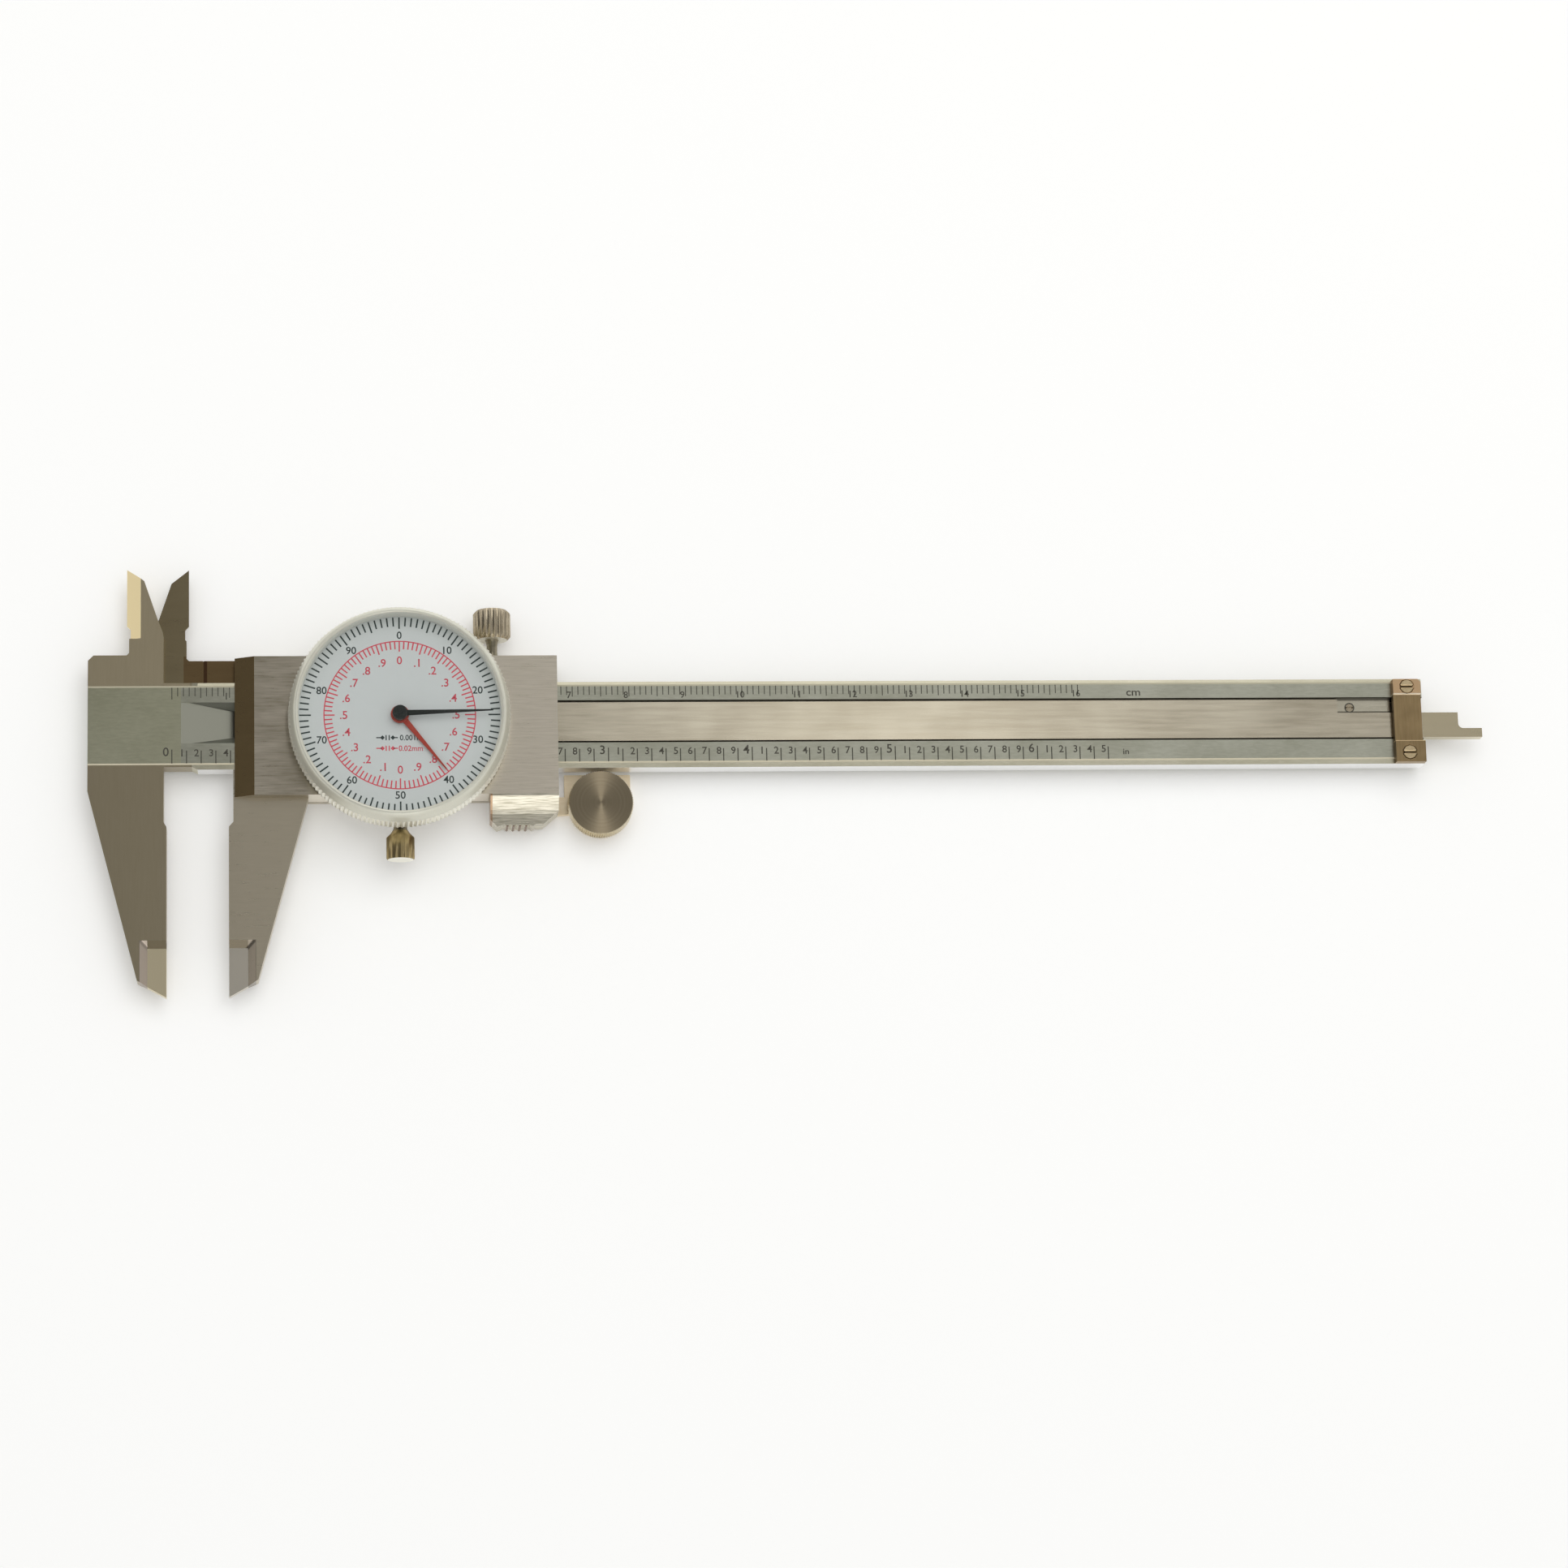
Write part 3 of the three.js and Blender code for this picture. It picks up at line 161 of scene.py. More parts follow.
# The Mix node has one set of sockets for each kind of data. These are the ones for colours.
mix_factor, mix_first, mix_second, mix_result = 0, 6, 7, 2


def mixed(tree, factor, first, second):
    """Colour between two others, each a socket or a hex value."""
    node = add_node(tree, "ShaderNodeMix", {mix_factor: factor}, data_type="RGBA")
    for socket, source in ((mix_first, first), (mix_second, second)):
        if isinstance(source, str):
            node.inputs[socket].default_value = colour(source)
        else:
            tree.links.new(source, node.inputs[socket])
    return node.outputs[mix_result]


print("linear value of mid grey:", round(colour("#808080")[0], 3))

# %% [markdown]
# ## Ground steel
# Hardened stainless steel leaves the grinding wheel with fine parallel marks. They could be a picture
# stretched over each face, but noise squeezed along one axis gives the same marks from any side and
# never repeats. Each finish takes the size of one mark along X, Y and Z in millimetres. Real marks
# are a few hundredths wide, too fine to show here, so they are drawn about a quarter millimetre wide.

# %% Ground steel
# One noise seldom leaves the first pair of limits, and the sum of two seldom leaves the second.
noise_low, noise_high = 0.3, 0.7
sum_low, sum_high = 0.72, 1.28
mark_strength, mark_relief = 0.1, 0.004


def grinding_marks(tree, place, mark, detail=4.0):
    """Noise whose grain has the size of mark, in mm along X, Y and Z."""
    scaled = add_node(tree, "ShaderNodeMapping", {"Vector": place},
                      {"Scale": [1 / (size * mm) for size in mark]})
    noise = add_node(tree, "ShaderNodeTexNoise", {"Vector": scaled.outputs["Vector"]},
                     {"Scale": 1.0, "Detail": detail, "Roughness": 0.6})
    return noise.outputs["Fac"]


def ground_finish(tree, shader, tones, marks, patches, roughness, spread, relief):
    """Carries the marks into colour, roughness and relief of a ground face."""
    both = add_node(tree, "ShaderNodeMath", {0: marks, 1: patches}, operation="ADD")
    level = add_node(tree, "ShaderNodeMapRange", {"Value": both.outputs[0]},
                     {"From Min": sum_low, "From Max": sum_high}).outputs["Result"]
    tree.links.new(mixed(tree, level, *tones), shader.inputs["Base Color"])
    rough = add_node(tree, "ShaderNodeMapRange", {"Value": marks},
                     {"From Min": noise_low, "From Max": noise_high,
                      "To Min": roughness - spread, "To Max": roughness + spread})
    tree.links.new(rough.outputs["Result"], shader.inputs["Roughness"])
    bump = add_node(tree, "ShaderNodeBump", {"Height": marks},
                    {"Strength": mark_strength, "Distance": relief * mm})
    tree.links.new(bump.outputs["Normal"], shader.inputs["Normal"])
    return level


def ground_steel(name, dark, light, mark, patch=9, roughness=0.36, spread=0.03,
                 relief=mark_relief, metallic=1.0):
    """Steel ground in one direction, between two tones. Sizes in mm."""
    material, tree, shader = new_material(name, Metallic=metallic)
    place = add_node(tree, "ShaderNodeTexCoord").outputs["Object"]
    marks = grinding_marks(tree, place, mark)
    patches = grinding_marks(tree, place, (patch, patch, patch), detail=2.0)
    ground_finish(tree, shader, (dark, light), marks, patches, roughness, spread, relief)
    return material


print("relief of a mark, mm:", mark_relief)

# %% [markdown]
# ## Steels of the smaller pieces
# The pieces round the beam are all steel, yet no two look alike, because each was ground, turned or
# heated in its own way. What sets them apart is only the tone, the size of a mark and how soft the
# shine is, so one call makes each of them.

# %% Small steels
along_beam = (6, 0.28, 0.28)
along_jaw = (0.3, 5, 0.3)
# The rod is drawn and polished, and mirrors the room in long streaks. The cover is brushed sheet.
rod_steel = ground_steel("ground_rod_steel", "#bfb59f", "#dcd3bd", (14, 0.9, 0.9), patch=13,
                         roughness=0.16, spread=0.015, relief=0.0004)
cover_steel = ground_steel("ground_cover_steel", "#b3aa98", "#cfc6b4", (4, 0.3, 0.3), patch=8,
                           roughness=0.3)
# The end stop is browned by heat, which dulls it and makes it warm. The bracket is painted nearly
# white, a painted light that makes up for the shade of the roller and slide, and is metallic only in
# part.
stop_steel = ground_steel("browned_stop_steel", "#947f5c", "#aa926c", along_jaw, patch=4,
                          roughness=0.36)
bracket_light_steel = ground_steel("painted_light_bracket", "#efdcba", "#f7e8c9", (2, 0.4, 0.4), patch=3,
                             metallic=0.35)
# Screws are turned from bar. The bronzed one has a warm oxide skin, and the necks under the knobs
# are a darker, duller tone.
screw_steel = ground_steel("bright_screw_steel", "#a3967f", "#b9ad96", (0.3, 2, 0.3), patch=2,
                           roughness=0.27, spread=0.02, relief=0.001)
bronze_steel = ground_steel("bronzed_screw_steel", "#9c8a62", "#b3a178", (0.3, 2, 0.3), patch=2,
                            roughness=0.3, spread=0.02, relief=0.001)
neck_steel = ground_steel("turned_neck_steel", "#7f7866", "#978f7b", (2, 0.3, 2), patch=1,
                          roughness=0.36, relief=0.001)
# The end stop's screws are browned like the stop, and their pale tone is partly a painted glint.
brown_screw_steel = ground_steel("browned_screw_steel", "#c9b48c", "#e2cda6", (0.5, 0.12, 0.5),
                                 patch=1, roughness=0.36)
# The movement is lapped brass. It is hidden by the dial and seen only when the case is open.
movement_brass = ground_steel("lapped_brass", "#a5863f", "#c5a765", (1.2, 0.1, 0.1), patch=2,
                              roughness=0.3)
print("ground finishes:", len(bpy.data.materials))

# %% [markdown]
# ## Painting by place
# One piece of metal often wears several finishes, because each of its faces met another wheel. A
# picture could tell them apart, but their places are known in millimetres, so a few comparisons do
# it as well and stay sharp. A zone is a rectangle of the XY plane, and each lays its tone over the
# one before it.

# %% Zones
def inside(tree, coordinate, low, high):
    """1 where a coordinate lies between two places, and 0 elsewhere."""
    above = add_node(tree, "ShaderNodeMath", {0: coordinate}, {1: low}, operation="GREATER_THAN")
    below = add_node(tree, "ShaderNodeMath", {0: coordinate}, {1: high}, operation="LESS_THAN")
    both = add_node(tree, "ShaderNodeMath", {0: above.outputs[0], 1: below.outputs[0]},
                    operation="MULTIPLY")
    return both.outputs[0]


def zone(tree, axes, x_range, y_range):
    """1 inside a rectangle of the XY plane, and 0 elsewhere."""
    along = inside(tree, axes["X"], *x_range)
    across = inside(tree, axes["Y"], *y_range)
    both = add_node(tree, "ShaderNodeMath", {0: along, 1: across}, operation="MULTIPLY")
    return both.outputs[0]


def painted_zones(tree, axes, tone, zones):
    """Lays the tone of each zone over the one before it."""
    for x_range, y_range, shade in zones:
        tone = mixed(tree, zone(tree, axes, x_range, y_range), tone, shade)
    return tone


def shade_zones(material, *zones):
    """Paints zones of the XY plane over the tone that a finish has already."""
    tree = material.node_tree
    shader = tree.nodes["Principled BSDF"]
    place = add_node(tree, "ShaderNodeTexCoord").outputs["Object"]
    axes = add_node(tree, "ShaderNodeSeparateXYZ", {"Vector": place}).outputs
    tone = painted_zones(tree, axes, shader.inputs["Base Color"].links[0].from_socket, zones)
    tree.links.new(tone, shader.inputs["Base Color"])


def span(low, high):
    """Two places in mm as metres."""
    return low * mm, high * mm


print("a span of 1 to 2 mm, in metres:", span(1, 2))

# %% [markdown]
# ## The beam: chrome between two ground lines
# A beam is satin chromed so that its scale reads without glare, and then its edges are ground bright
# along two lines that frame the scale. The jaws beyond them stay plain ground steel. One finish
# covers all three, because they are one piece: where a point lies on the beam decides its tone. Its
# places are named first. The head lies left of the scale and the run-out is where the channel rises
# to the face. The gaps are the dark lines of painted shade beside the rack and the rod, and the arris
# is the beam's lowest edge, whose face is painted white as a painted reflection of the white floor.
# The knife is the ground edge of the inside jaw, painted pale as a painted highlight, and the nib the
# thinned tip of the outside one, with a slope above it. The slope and the nib's side are painted
# shade, and the upper edge of the beam is painted darker than the lower one, also a painted shade.

# %% Zones of the beam
scale_low, scale_high = centre_y - 6.75 * mm, centre_y + 7.07 * mm
past_end = beam_high.x + mm
edges_x, blade_y = (4.4 * mm, past_end), span(22.24, 37.76)
top_edge_shade_y = (scale_high, centre_y + 8 * mm)
arris_reflection_x, arris_reflection_y = (0.5 * mm, past_end), span(22.2, 22.27)
head_x, runout_x, past_runout = span(-20, 2.5), span(2.5, 18), (18 * mm, past_end)
channel_y = span(26.95, 34.25)
lower_gap_y, upper_gap_y = span(26.78, 27.15), span(34.05, 34.42)
upper_jaw_x, upper_jaw_y = span(-30, 4), span(37, 60)
knife_highlight_x, knife_highlight_y = span(-8, -4.5), span(45.9, 59)
nib_x, nib_side_shade_x = span(-3.27, 1), span(-4.65, -3.27)
under_nib_y, nib_slope_shade_y = span(-19, -7.9), span(-9.2, -7.9)
gap_shade = "#2c281f"
print("scale band, mm wide:", round((scale_high - scale_low) / mm, 2))


# %% Beam finish
def chromed_beam_steel():
    """Satin chrome in the scale band, bright ground edges beside it, and ground jaws."""
    material, tree, shader = new_material("chromed_beam_steel", Metallic=1.0)
    place = add_node(tree, "ShaderNodeTexCoord").outputs["Object"]
    axes = add_node(tree, "ShaderNodeSeparateXYZ", {"Vector": place}).outputs
    marks = grinding_marks(tree, place, (1.4, 0.35, 0.35))
    jaw_marks = grinding_marks(tree, place, along_jaw)
    patches = grinding_marks(tree, place, (12, 8, 8), detail=2.0)
    level = ground_finish(tree, shader, ("#afaf9d", "#c4c4b4"), marks, patches,
                          roughness=0.3, spread=0.015, relief=0.002)
    chrome = shader.inputs["Base Color"].links[0].from_socket
    edge = mixed(tree, level, "#ccc7ae", "#dfdac3")
    # painted shade: the upper edge is painted darker than the lower one
    top_edge_shade = mixed(tree, level, "#b4af98", "#c6c1ab")
    head_chrome = mixed(tree, level, "#b6b59a", "#c8c7ad")
    steel = painted_zones(tree, axes, mixed(tree, jaw_marks, "#a89c82", "#b2a68c"), (
        (upper_jaw_x, upper_jaw_y, mixed(tree, jaw_marks, "#b8ab8e", "#c3b699")),
        # painted highlight: the knife's bevel is painted pale cream, as if it caught the light
        (knife_highlight_x, knife_highlight_y, "#f7e4b4"),
        (nib_x, under_nib_y, "#e7dab8"),
        # painted shade on the nib's side and on the slope above it
        (nib_side_shade_x, under_nib_y, "#a89c8f"),
        (nib_x, nib_slope_shade_y, "#5f5746"),
    ))
    in_band = inside(tree, axes["Y"], scale_low, scale_high)
    outside = mixed(tree, zone(tree, axes, edges_x, blade_y), steel, edge)
    tone = painted_zones(tree, axes, mixed(tree, in_band, outside, chrome), (
        (head_x, (scale_low, scale_high), head_chrome),
        (runout_x, channel_y, "#b3b3a4"),
        (edges_x, top_edge_shade_y, top_edge_shade),
        # painted reflection: the beam's lowest face is painted white, as if it mirrored the white floor
        (arris_reflection_x, arris_reflection_y, "#ffffff"),
        (past_runout, lower_gap_y, gap_shade),
        (past_runout, upper_gap_y, gap_shade),
    ))
    tree.links.new(tone, shader.inputs["Base Color"])
    return material


beam_steel = chromed_beam_steel()
print("nodes in the beam's finish:", len(beam_steel.node_tree.nodes))

# %% [markdown]
# ## Lines and shades at the end of the beam
# The tip of the rod is a little darker than the rest of it, the rack shows a painted shade along its
# lower edge, and the end stop has painted highlights: a paler upper part, a bright step where the
# light runs along its bend, and a bright line lower down. The slots of its screws are painted dark
# as well, because no light reaches the floor of so narrow a cut.

# %% Zones at the end of the beam
rod_low, rod_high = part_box("depth_rod")
tip_x, tip_y = (beam_high.x, rod_high.x + mm), (rod_low.y - mm, rod_high.y + mm)
shade_zones(rod_steel, (tip_x, tip_y, "#cdc1a3"))
rack_low, rack_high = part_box("rack")
rack_edge_y = (rack_low.y - mm, rack_low.y + 0.22 * mm)
rack_steel = ground_steel("ground_rack_steel", "#bcb6a2", "#cdc7b4", (6, 0.5, 0.5), roughness=0.2)
shade_zones(rack_steel, (past_runout, rack_edge_y, "#6d685b"))
stop_low, stop_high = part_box("end_stop")
whole_stop = (stop_low.x - mm, stop_high.x + mm)
stop_upper_highlight_y, stop_step_highlight_y, stop_lower_highlight_y = span(34.7, 38), span(34.5, 34.75), span(26.0, 26.2)
# painted highlights on the end stop: a paler upper part and two bright lines
shade_zones(stop_steel,
            (whole_stop, stop_upper_highlight_y, "#d5b48c"),
            (whole_stop, stop_step_highlight_y, "#fff2da"),
            (whole_stop, stop_lower_highlight_y, "#e8cfa2"))
slot_half = 0.13 * mm
for side in ("upper", "lower"):
    slot_y = middle_of("end_stop_screw_" + side).y
    shade_zones(brown_screw_steel,
                (whole_stop, (slot_y - slot_half, slot_y + slot_half), "#4d4232"))
print("end stop, mm wide:", round((stop_high.x - stop_low.x) / mm, 2))

# %% [markdown]
# ## The slide: one piece and several finishes
# The front plate of the slide is brushed along the beam and painted paler towards the thumb, a
# painted light. Its outside jaw is ground more evenly, and the inside jaw and the reading bevel are
# painted dark brown, a painted shade. The scoop for the thumb is bright from the coarse wheel that
# cut it. The zones are rectangles of its front, so the finish looks up where a point lies and mixes
# in the tone of that zone. The point is the inside jaw, the foot is where it meets the plate and is
# painted darker still, and the lip is the plate's lower edge, painted bright as a painted reflection
# of the floor. The teeth under the scoop and the nib's slope and side are painted shade as well.

# %% Zones of the slide
whole_slide = (slide_low.x - mm, slide_right + mm)
bevel_from = slide_left - 0.02 * mm
bevel_x, bevel_y = (bevel_from, slide_left + 3.43 * mm), (slide_bottom, slide_high.y + mm)
under_plate = (slide_low.y - mm, slide_bottom)
thumb_from = slide_right - 12.2 * mm
thumb_x, thumb_strip_x = (thumb_from, slide_right + mm), (thumb_from, thumb_from + 0.6 * mm)
teeth_shade_x, teeth_shade_y = (thumb_from + 2.2 * mm, thumb_from + 7.4 * mm), span(11, 11.95)
lip_reflection_x, lip_reflection_y = (24.6 * mm, thumb_from), (slide_bottom - 0.01 * mm, slide_bottom + 0.01 * mm)
point_low_y = centre_y + 7.8 * mm
point_x, point_y = (slide_low.x - mm, bevel_from), (point_low_y, slide_high.y + mm)
foot_x, foot_y = (2.9 * mm, bevel_from), (point_low_y, centre_y + 13 * mm)
foot_groove_x = span(6.4, 7.0)
slide_nib_x, slide_nib_side_shade_x = span(10.7, 14.05), span(14.05, 15.43)
plate_margin = 12 * mm
print("slide, mm long:", round((slide_right - slide_left) / mm, 2))


# %% Slide finish
def brushed_slide_steel():
    """Brushed plate painted paler towards the thumb, with painted shade on the inside jaw and bevel,
    and a bright scoop.
    """
    material, tree, shader = new_material("brushed_slide_steel", Metallic=1.0)
    place = add_node(tree, "ShaderNodeTexCoord").outputs["Object"]
    axes = add_node(tree, "ShaderNodeSeparateXYZ", {"Vector": place}).outputs
    marks = grinding_marks(tree, place, (5, 0.3, 0.3))
    patches = grinding_marks(tree, place, (9, 2.5, 4), detail=3.0)
    jaw_marks = grinding_marks(tree, place, (4, 0.5, 0.5), detail=2.0)
    streaks = grinding_marks(tree, place, (3.2, 0.12, 0.4), detail=2.0)
    ground_finish(tree, shader, ("#a49b88", "#cbc2b1"), marks, patches,
                  roughness=0.29, spread=0.02, relief=0.0015)
    plate = shader.inputs["Base Color"].links[0].from_socket
    # painted light: the plate is painted paler towards the thumb, as if lit more there
    plate_ends = {"From Min": slide_left + plate_margin, "From Max": slide_right - plate_margin}
    painted_light_towards_thumb = add_node(tree, "ShaderNodeMapRange", {"Value": axes["X"]}, plate_ends)
    painted_light_plate = mixed(tree, marks, "#bfb6a3", "#ebe2d2")
    plate = mixed(tree, painted_light_towards_thumb.outputs["Result"], plate, painted_light_plate)
    streak_low, streak_high = 0.36, 0.6
    streak_level = add_node(tree, "ShaderNodeMapRange", {"Value": streaks},
                            {"From Min": streak_low, "From Max": streak_high}).outputs["Result"]
    tone = painted_zones(tree, axes, plate, (
        (whole_slide, under_plate, mixed(tree, jaw_marks, "#c0b6a0", "#cac0ab")),
        (thumb_x, under_plate, mixed(tree, streak_level, "#aaa490", "#e0dac8")),
        # painted reflection: the plate's lower face is painted near white, as if it mirrored the floor
        (lip_reflection_x, lip_reflection_y, "#fff9ec"),
        (thumb_strip_x, under_plate, "#b09478"),
        # painted shade: a dark patch along the teeth at the foot of the scoop
        (teeth_shade_x, teeth_shade_y, "#7d5e41"),
        # painted shade: the reading bevel, the inside jaw and its foot are painted dark brown
        (bevel_x, bevel_y, mixed(tree, patches, "#857150", "#927e5b")),
        (point_x, point_y, mixed(tree, patches, "#887b5f", "#96896c")),
        (foot_x, foot_y, mixed(tree, patches, "#756144", "#836e4e")),
        (foot_groove_x, foot_y, "#57402e"),
        (slide_nib_x, under_nib_y, "#d5cebf"),
        # painted shade on the slide's nib, on its side and on the slope above it
        (slide_nib_side_shade_x, under_nib_y, "#8f8678"),
        (slide_nib_x, nib_slope_shade_y, "#706858"),
    ))
    tree.links.new(tone, shader.inputs["Base Color"])
    return material


slide_steel = brushed_slide_steel()
print("nodes in the slide's finish:", len(slide_steel.node_tree.nodes))

# %% [markdown]
# ## Enamel, ink, crystal and nylon
# The dial is a disc with fired white enamel, faintly blue, and a matt tooth to it. Its inks and the
# hands are paint. The crystal is acrylic, so thin that it bends no light worth showing: it is mostly
# clear to the eye with a soft gloss on top. A refracting crystal would shut the lamps out of the
# dial, so its clearness comes from alpha.

# %% Paints and plastics
def fine_paint(name, dark, light, grain, roughness, **values):
    """Paint or plastic with a faint unevenness. grain in mm."""
    uneven, tooth, tooth_depth = 0.2, 0.2, 0.01 * mm
    material, tree, shader = new_material(name, **values)
    place = add_node(tree, "ShaderNodeTexCoord").outputs["Object"]
    mottle = grinding_marks(tree, place, (grain, grain, grain), detail=3.0)
    tree.links.new(mixed(tree, mottle, dark, light), shader.inputs["Base Color"])
    rough = add_node(tree, "ShaderNodeMapRange", {"Value": mottle},
                     {"To Min": roughness * (1 - uneven), "To Max": roughness * (1 + uneven)})
    tree.links.new(rough.outputs["Result"], shader.inputs["Roughness"])
    bump = add_node(tree, "ShaderNodeBump", {"Height": mottle},
                    {"Strength": tooth, "Distance": tooth_depth})
    tree.links.new(bump.outputs["Normal"], shader.inputs["Normal"])
    return material


# Enamel is glass, smooth under a faint tooth, and printed ink lies on it matt.
dial_enamel = fine_paint("fired_dial_enamel", "#c8cdcb", "#ced3d1", 1.5, 0.45)
black_ink = fine_paint("black_dial_ink", "#1f2b2a", "#2f3b39", 0.3, 0.6)
red_ink = fine_paint("red_dial_ink", "#cb404e", "#d65766", 0.3, 0.6)
# Etched lines are filled with black paint, which wears to a warm dark grey.
scale_ink = fine_paint("engraved_scale_black", "#434138", "#525046", 0.3, 0.7)
# Lacquer on the hands is glossier than ink, but the crystal above them keeps their shine low.
black_lacquer = fine_paint("black_hand_lacquer", "#0a0c0a", "#141713", 0.4, 0.35,
                           Specular_IOR_Level=0.25)
red_lacquer = fine_paint("red_hand_lacquer", "#982c1c", "#a93a28", 0.4, 0.35,
                         Specular_IOR_Level=0.3)
# Nylon is moulded and a little waxy, and the acrylic above it is polished clear.
pale_nylon = fine_paint("pale_nylon_ring", "#d6d8cd", "#e0e2d8", 0.6, 0.5)
crystal_acrylic = fine_paint("clear_acrylic_crystal", "#858c88", "#929995", 2.0, 0.08,
                             IOR=1.49, Alpha=0.035)
print("materials:", len(bpy.data.materials))

# %% [markdown]
# ## Satin bezel and turned faces
# The bezel is plated, polished and then blasted, so it keeps a soft cream glow with no grain at all.
# So fine a satin scatters part of the light as paint does, and its shader is metallic only by half.
# Its skirt is painted brighter still, a painted highlight of the light its knurl catches. The thumb
# roller is faced in a lathe instead: its grooves run in circles, and light then gathers in a bright
# bow tie across the face. Grooves that fine can't be drawn one by one, so the shader spreads its
# gloss across them, with its tangent turned round the roller's axis.

# %% Bezel and roller finishes
roller_middle = middle_of("thumb_roller")
groove_width = 0.3 * mm
quarter_turn = 0.25


def turned_face_steel(name, dark, light, middle):
    """Steel faced in a lathe, whose grooves run in circles round an axis along Z."""
    material, tree, shader = new_material(name, Metallic=1.0, Roughness=0.42, Anisotropic=0.9,
                                          Anisotropic_Rotation=quarter_turn)
    place = add_node(tree, "ShaderNodeTexCoord").outputs["Object"]
    centred = add_node(tree, "ShaderNodeMapping", {"Vector": place}, {"Location": -middle})
    radius = add_node(tree, "ShaderNodeVectorMath", {0: centred.outputs["Vector"]},
                      operation="LENGTH").outputs["Value"]
    uneven = add_node(tree, "ShaderNodeTexNoise", {"W": radius},
                      {"Scale": 1 / groove_width, "Detail": 3.0}, noise_dimensions="1D")
    tree.links.new(mixed(tree, uneven.outputs["Fac"], dark, light), shader.inputs["Base Color"])
    round_axis = add_node(tree, "ShaderNodeTangent", direction_type="RADIAL", axis="Z")
    tree.links.new(round_axis.outputs["Tangent"], shader.inputs["Tangent"])
    return material


roller_steel = turned_face_steel("faced_roller_steel", "#968971", "#a59880", roller_middle)
blasted = (0.25, 0.25, 0.25)
bezel_chrome = ground_steel("blasted_bezel_chrome", "#d6d4c5", "#deddce", blasted, patch=5,
                            roughness=0.42, spread=0.02, relief=0.001, metallic=0.5)
# painted highlight: a brighter copy of the bezel's chrome for its skirt and the knobs' lower faces
skirt_highlight_chrome = ground_steel("painted_highlight_chrome", "#f9f6e8", "#fffdf1", blasted, patch=5,
                            roughness=0.35, spread=0.02, relief=0.001, metallic=0.5)
rim_steel = ground_steel("bright_rim_steel", "#d8ccae", "#ebe0c6", (0.3, 0.3, 0.3), patch=3,
                         roughness=0.3, spread=0.04, relief=0.003)
print("materials:", len(bpy.data.materials))

# %% [markdown]
# ## Floor and lamp
# A white floor with one broad lamp overhead shows a tool as plainly as a catalogue does. The floor
# keeps a soft shadow. It glows a little, so that its open parts reach white without any more light on
# the steel. The lamp stays out of every reflection, because the room's own panels draw those.

# %% Floor
floor_z = cad_box[0][2]
floor_reach, floor_glow = 3, 0.14
floor_bm = bmesh.new()
bmesh.ops.create_grid(floor_bm, x_segments=1, y_segments=1, size=floor_reach)
bmesh.ops.translate(floor_bm, verts=floor_bm.verts, vec=(0, 0, floor_z))
floor_mesh = bpy.data.meshes.new("floor")
floor_bm.to_mesh(floor_mesh)
floor_bm.free()
floor = bpy.data.objects.new("floor", floor_mesh)
bpy.context.scene.collection.objects.link(floor)
floor_paint, _, floor_shader = new_material("white_floor", Roughness=0.9)
floor_shader.inputs["Base Color"].default_value = colour("#f6f6f4")
floor_shader.inputs["Emission Color"].default_value = colour("#ffffff")
floor_shader.inputs["Emission Strength"].default_value = floor_glow
floor_mesh.materials.append(floor_paint)
print("floor height, mm:", round(floor_z / mm, 2))

# %% Lamp
lamp_width, lamp_radiance = 1.4, 1.6
lamp_place, tool_middle = Vector((0.3, 0.5, 1.5)), Vector((0.1, centre_y, 0))
lamp_data = bpy.data.lights.new("broad_lamp", "AREA")
lamp_data.size = lamp_width
lamp_data.energy = lamp_radiance * pi * lamp_width ** 2
broad_lamp = bpy.data.objects.new("broad_lamp", lamp_data)
aim = (tool_middle - lamp_place).to_track_quat("-Z", "Y")
broad_lamp.matrix_world = Matrix.Translation(lamp_place) @ aim.to_matrix().to_4x4()
broad_lamp.visible_camera = False
broad_lamp.visible_glossy = False
bpy.context.scene.collection.objects.link(broad_lamp)
print("lamp power, W:", round(lamp_data.energy, 2))

# %% [markdown]
# ## A room for the steel to see
# Polished metal shows whatever stands round it, so its reflections are drawn in the sky itself, by
# direction. Overhead to the left hangs a dark screen, to the right a paler ceiling with one bright
# strip, which lays the bright patch on the middle of the beam and draws the bow tie on the thumb
# roller. Two brighter panels stand farther out, up and down across the beam, and a white horizon
# closes the room. Only mirrored and refracted rays see any of it: to the camera the sky is white, and
# the light that it gives is even.

# %% Sky
room_level, dark_ceiling, pale_ceiling = 0.62, 0.17, 0.5
strip_level, panel_level = 0.95, 1.2
screen_edge_x, strip_x = (-0.005, 0.045), (0.09, 0.155)
panels_x, between_panels_y = (-0.14, 0.26), (-0.5, 0.5)
horizon_z = (0.42, 0.3)
world = bpy.data.worlds.new("pale_room")
bpy.context.scene.world = world
world.use_nodes = True
sky_tree = world.node_tree
sky = sky_tree.nodes["Background"]
sky.inputs["Color"].default_value = colour("#ffffff")
direction = add_node(sky_tree, "ShaderNodeTexCoord").outputs["Generated"]
toward = add_node(sky_tree, "ShaderNodeSeparateXYZ", {"Vector": direction}).outputs
ceiling = add_node(sky_tree, "ShaderNodeMapRange", {"Value": toward["X"]},
                   {"From Min": screen_edge_x[0], "From Max": screen_edge_x[1],
                    "To Min": dark_ceiling, "To Max": pale_ceiling})
in_strip = inside(sky_tree, toward["X"], *strip_x)
across_panels = inside(sky_tree, toward["X"], *panels_x)
between_panels = inside(sky_tree, toward["Y"], *between_panels_y)
in_panels = add_node(sky_tree, "ShaderNodeMath", {0: across_panels, 1: between_panels},
                     operation="GREATER_THAN").outputs[0]
overhead = ceiling.outputs["Result"]
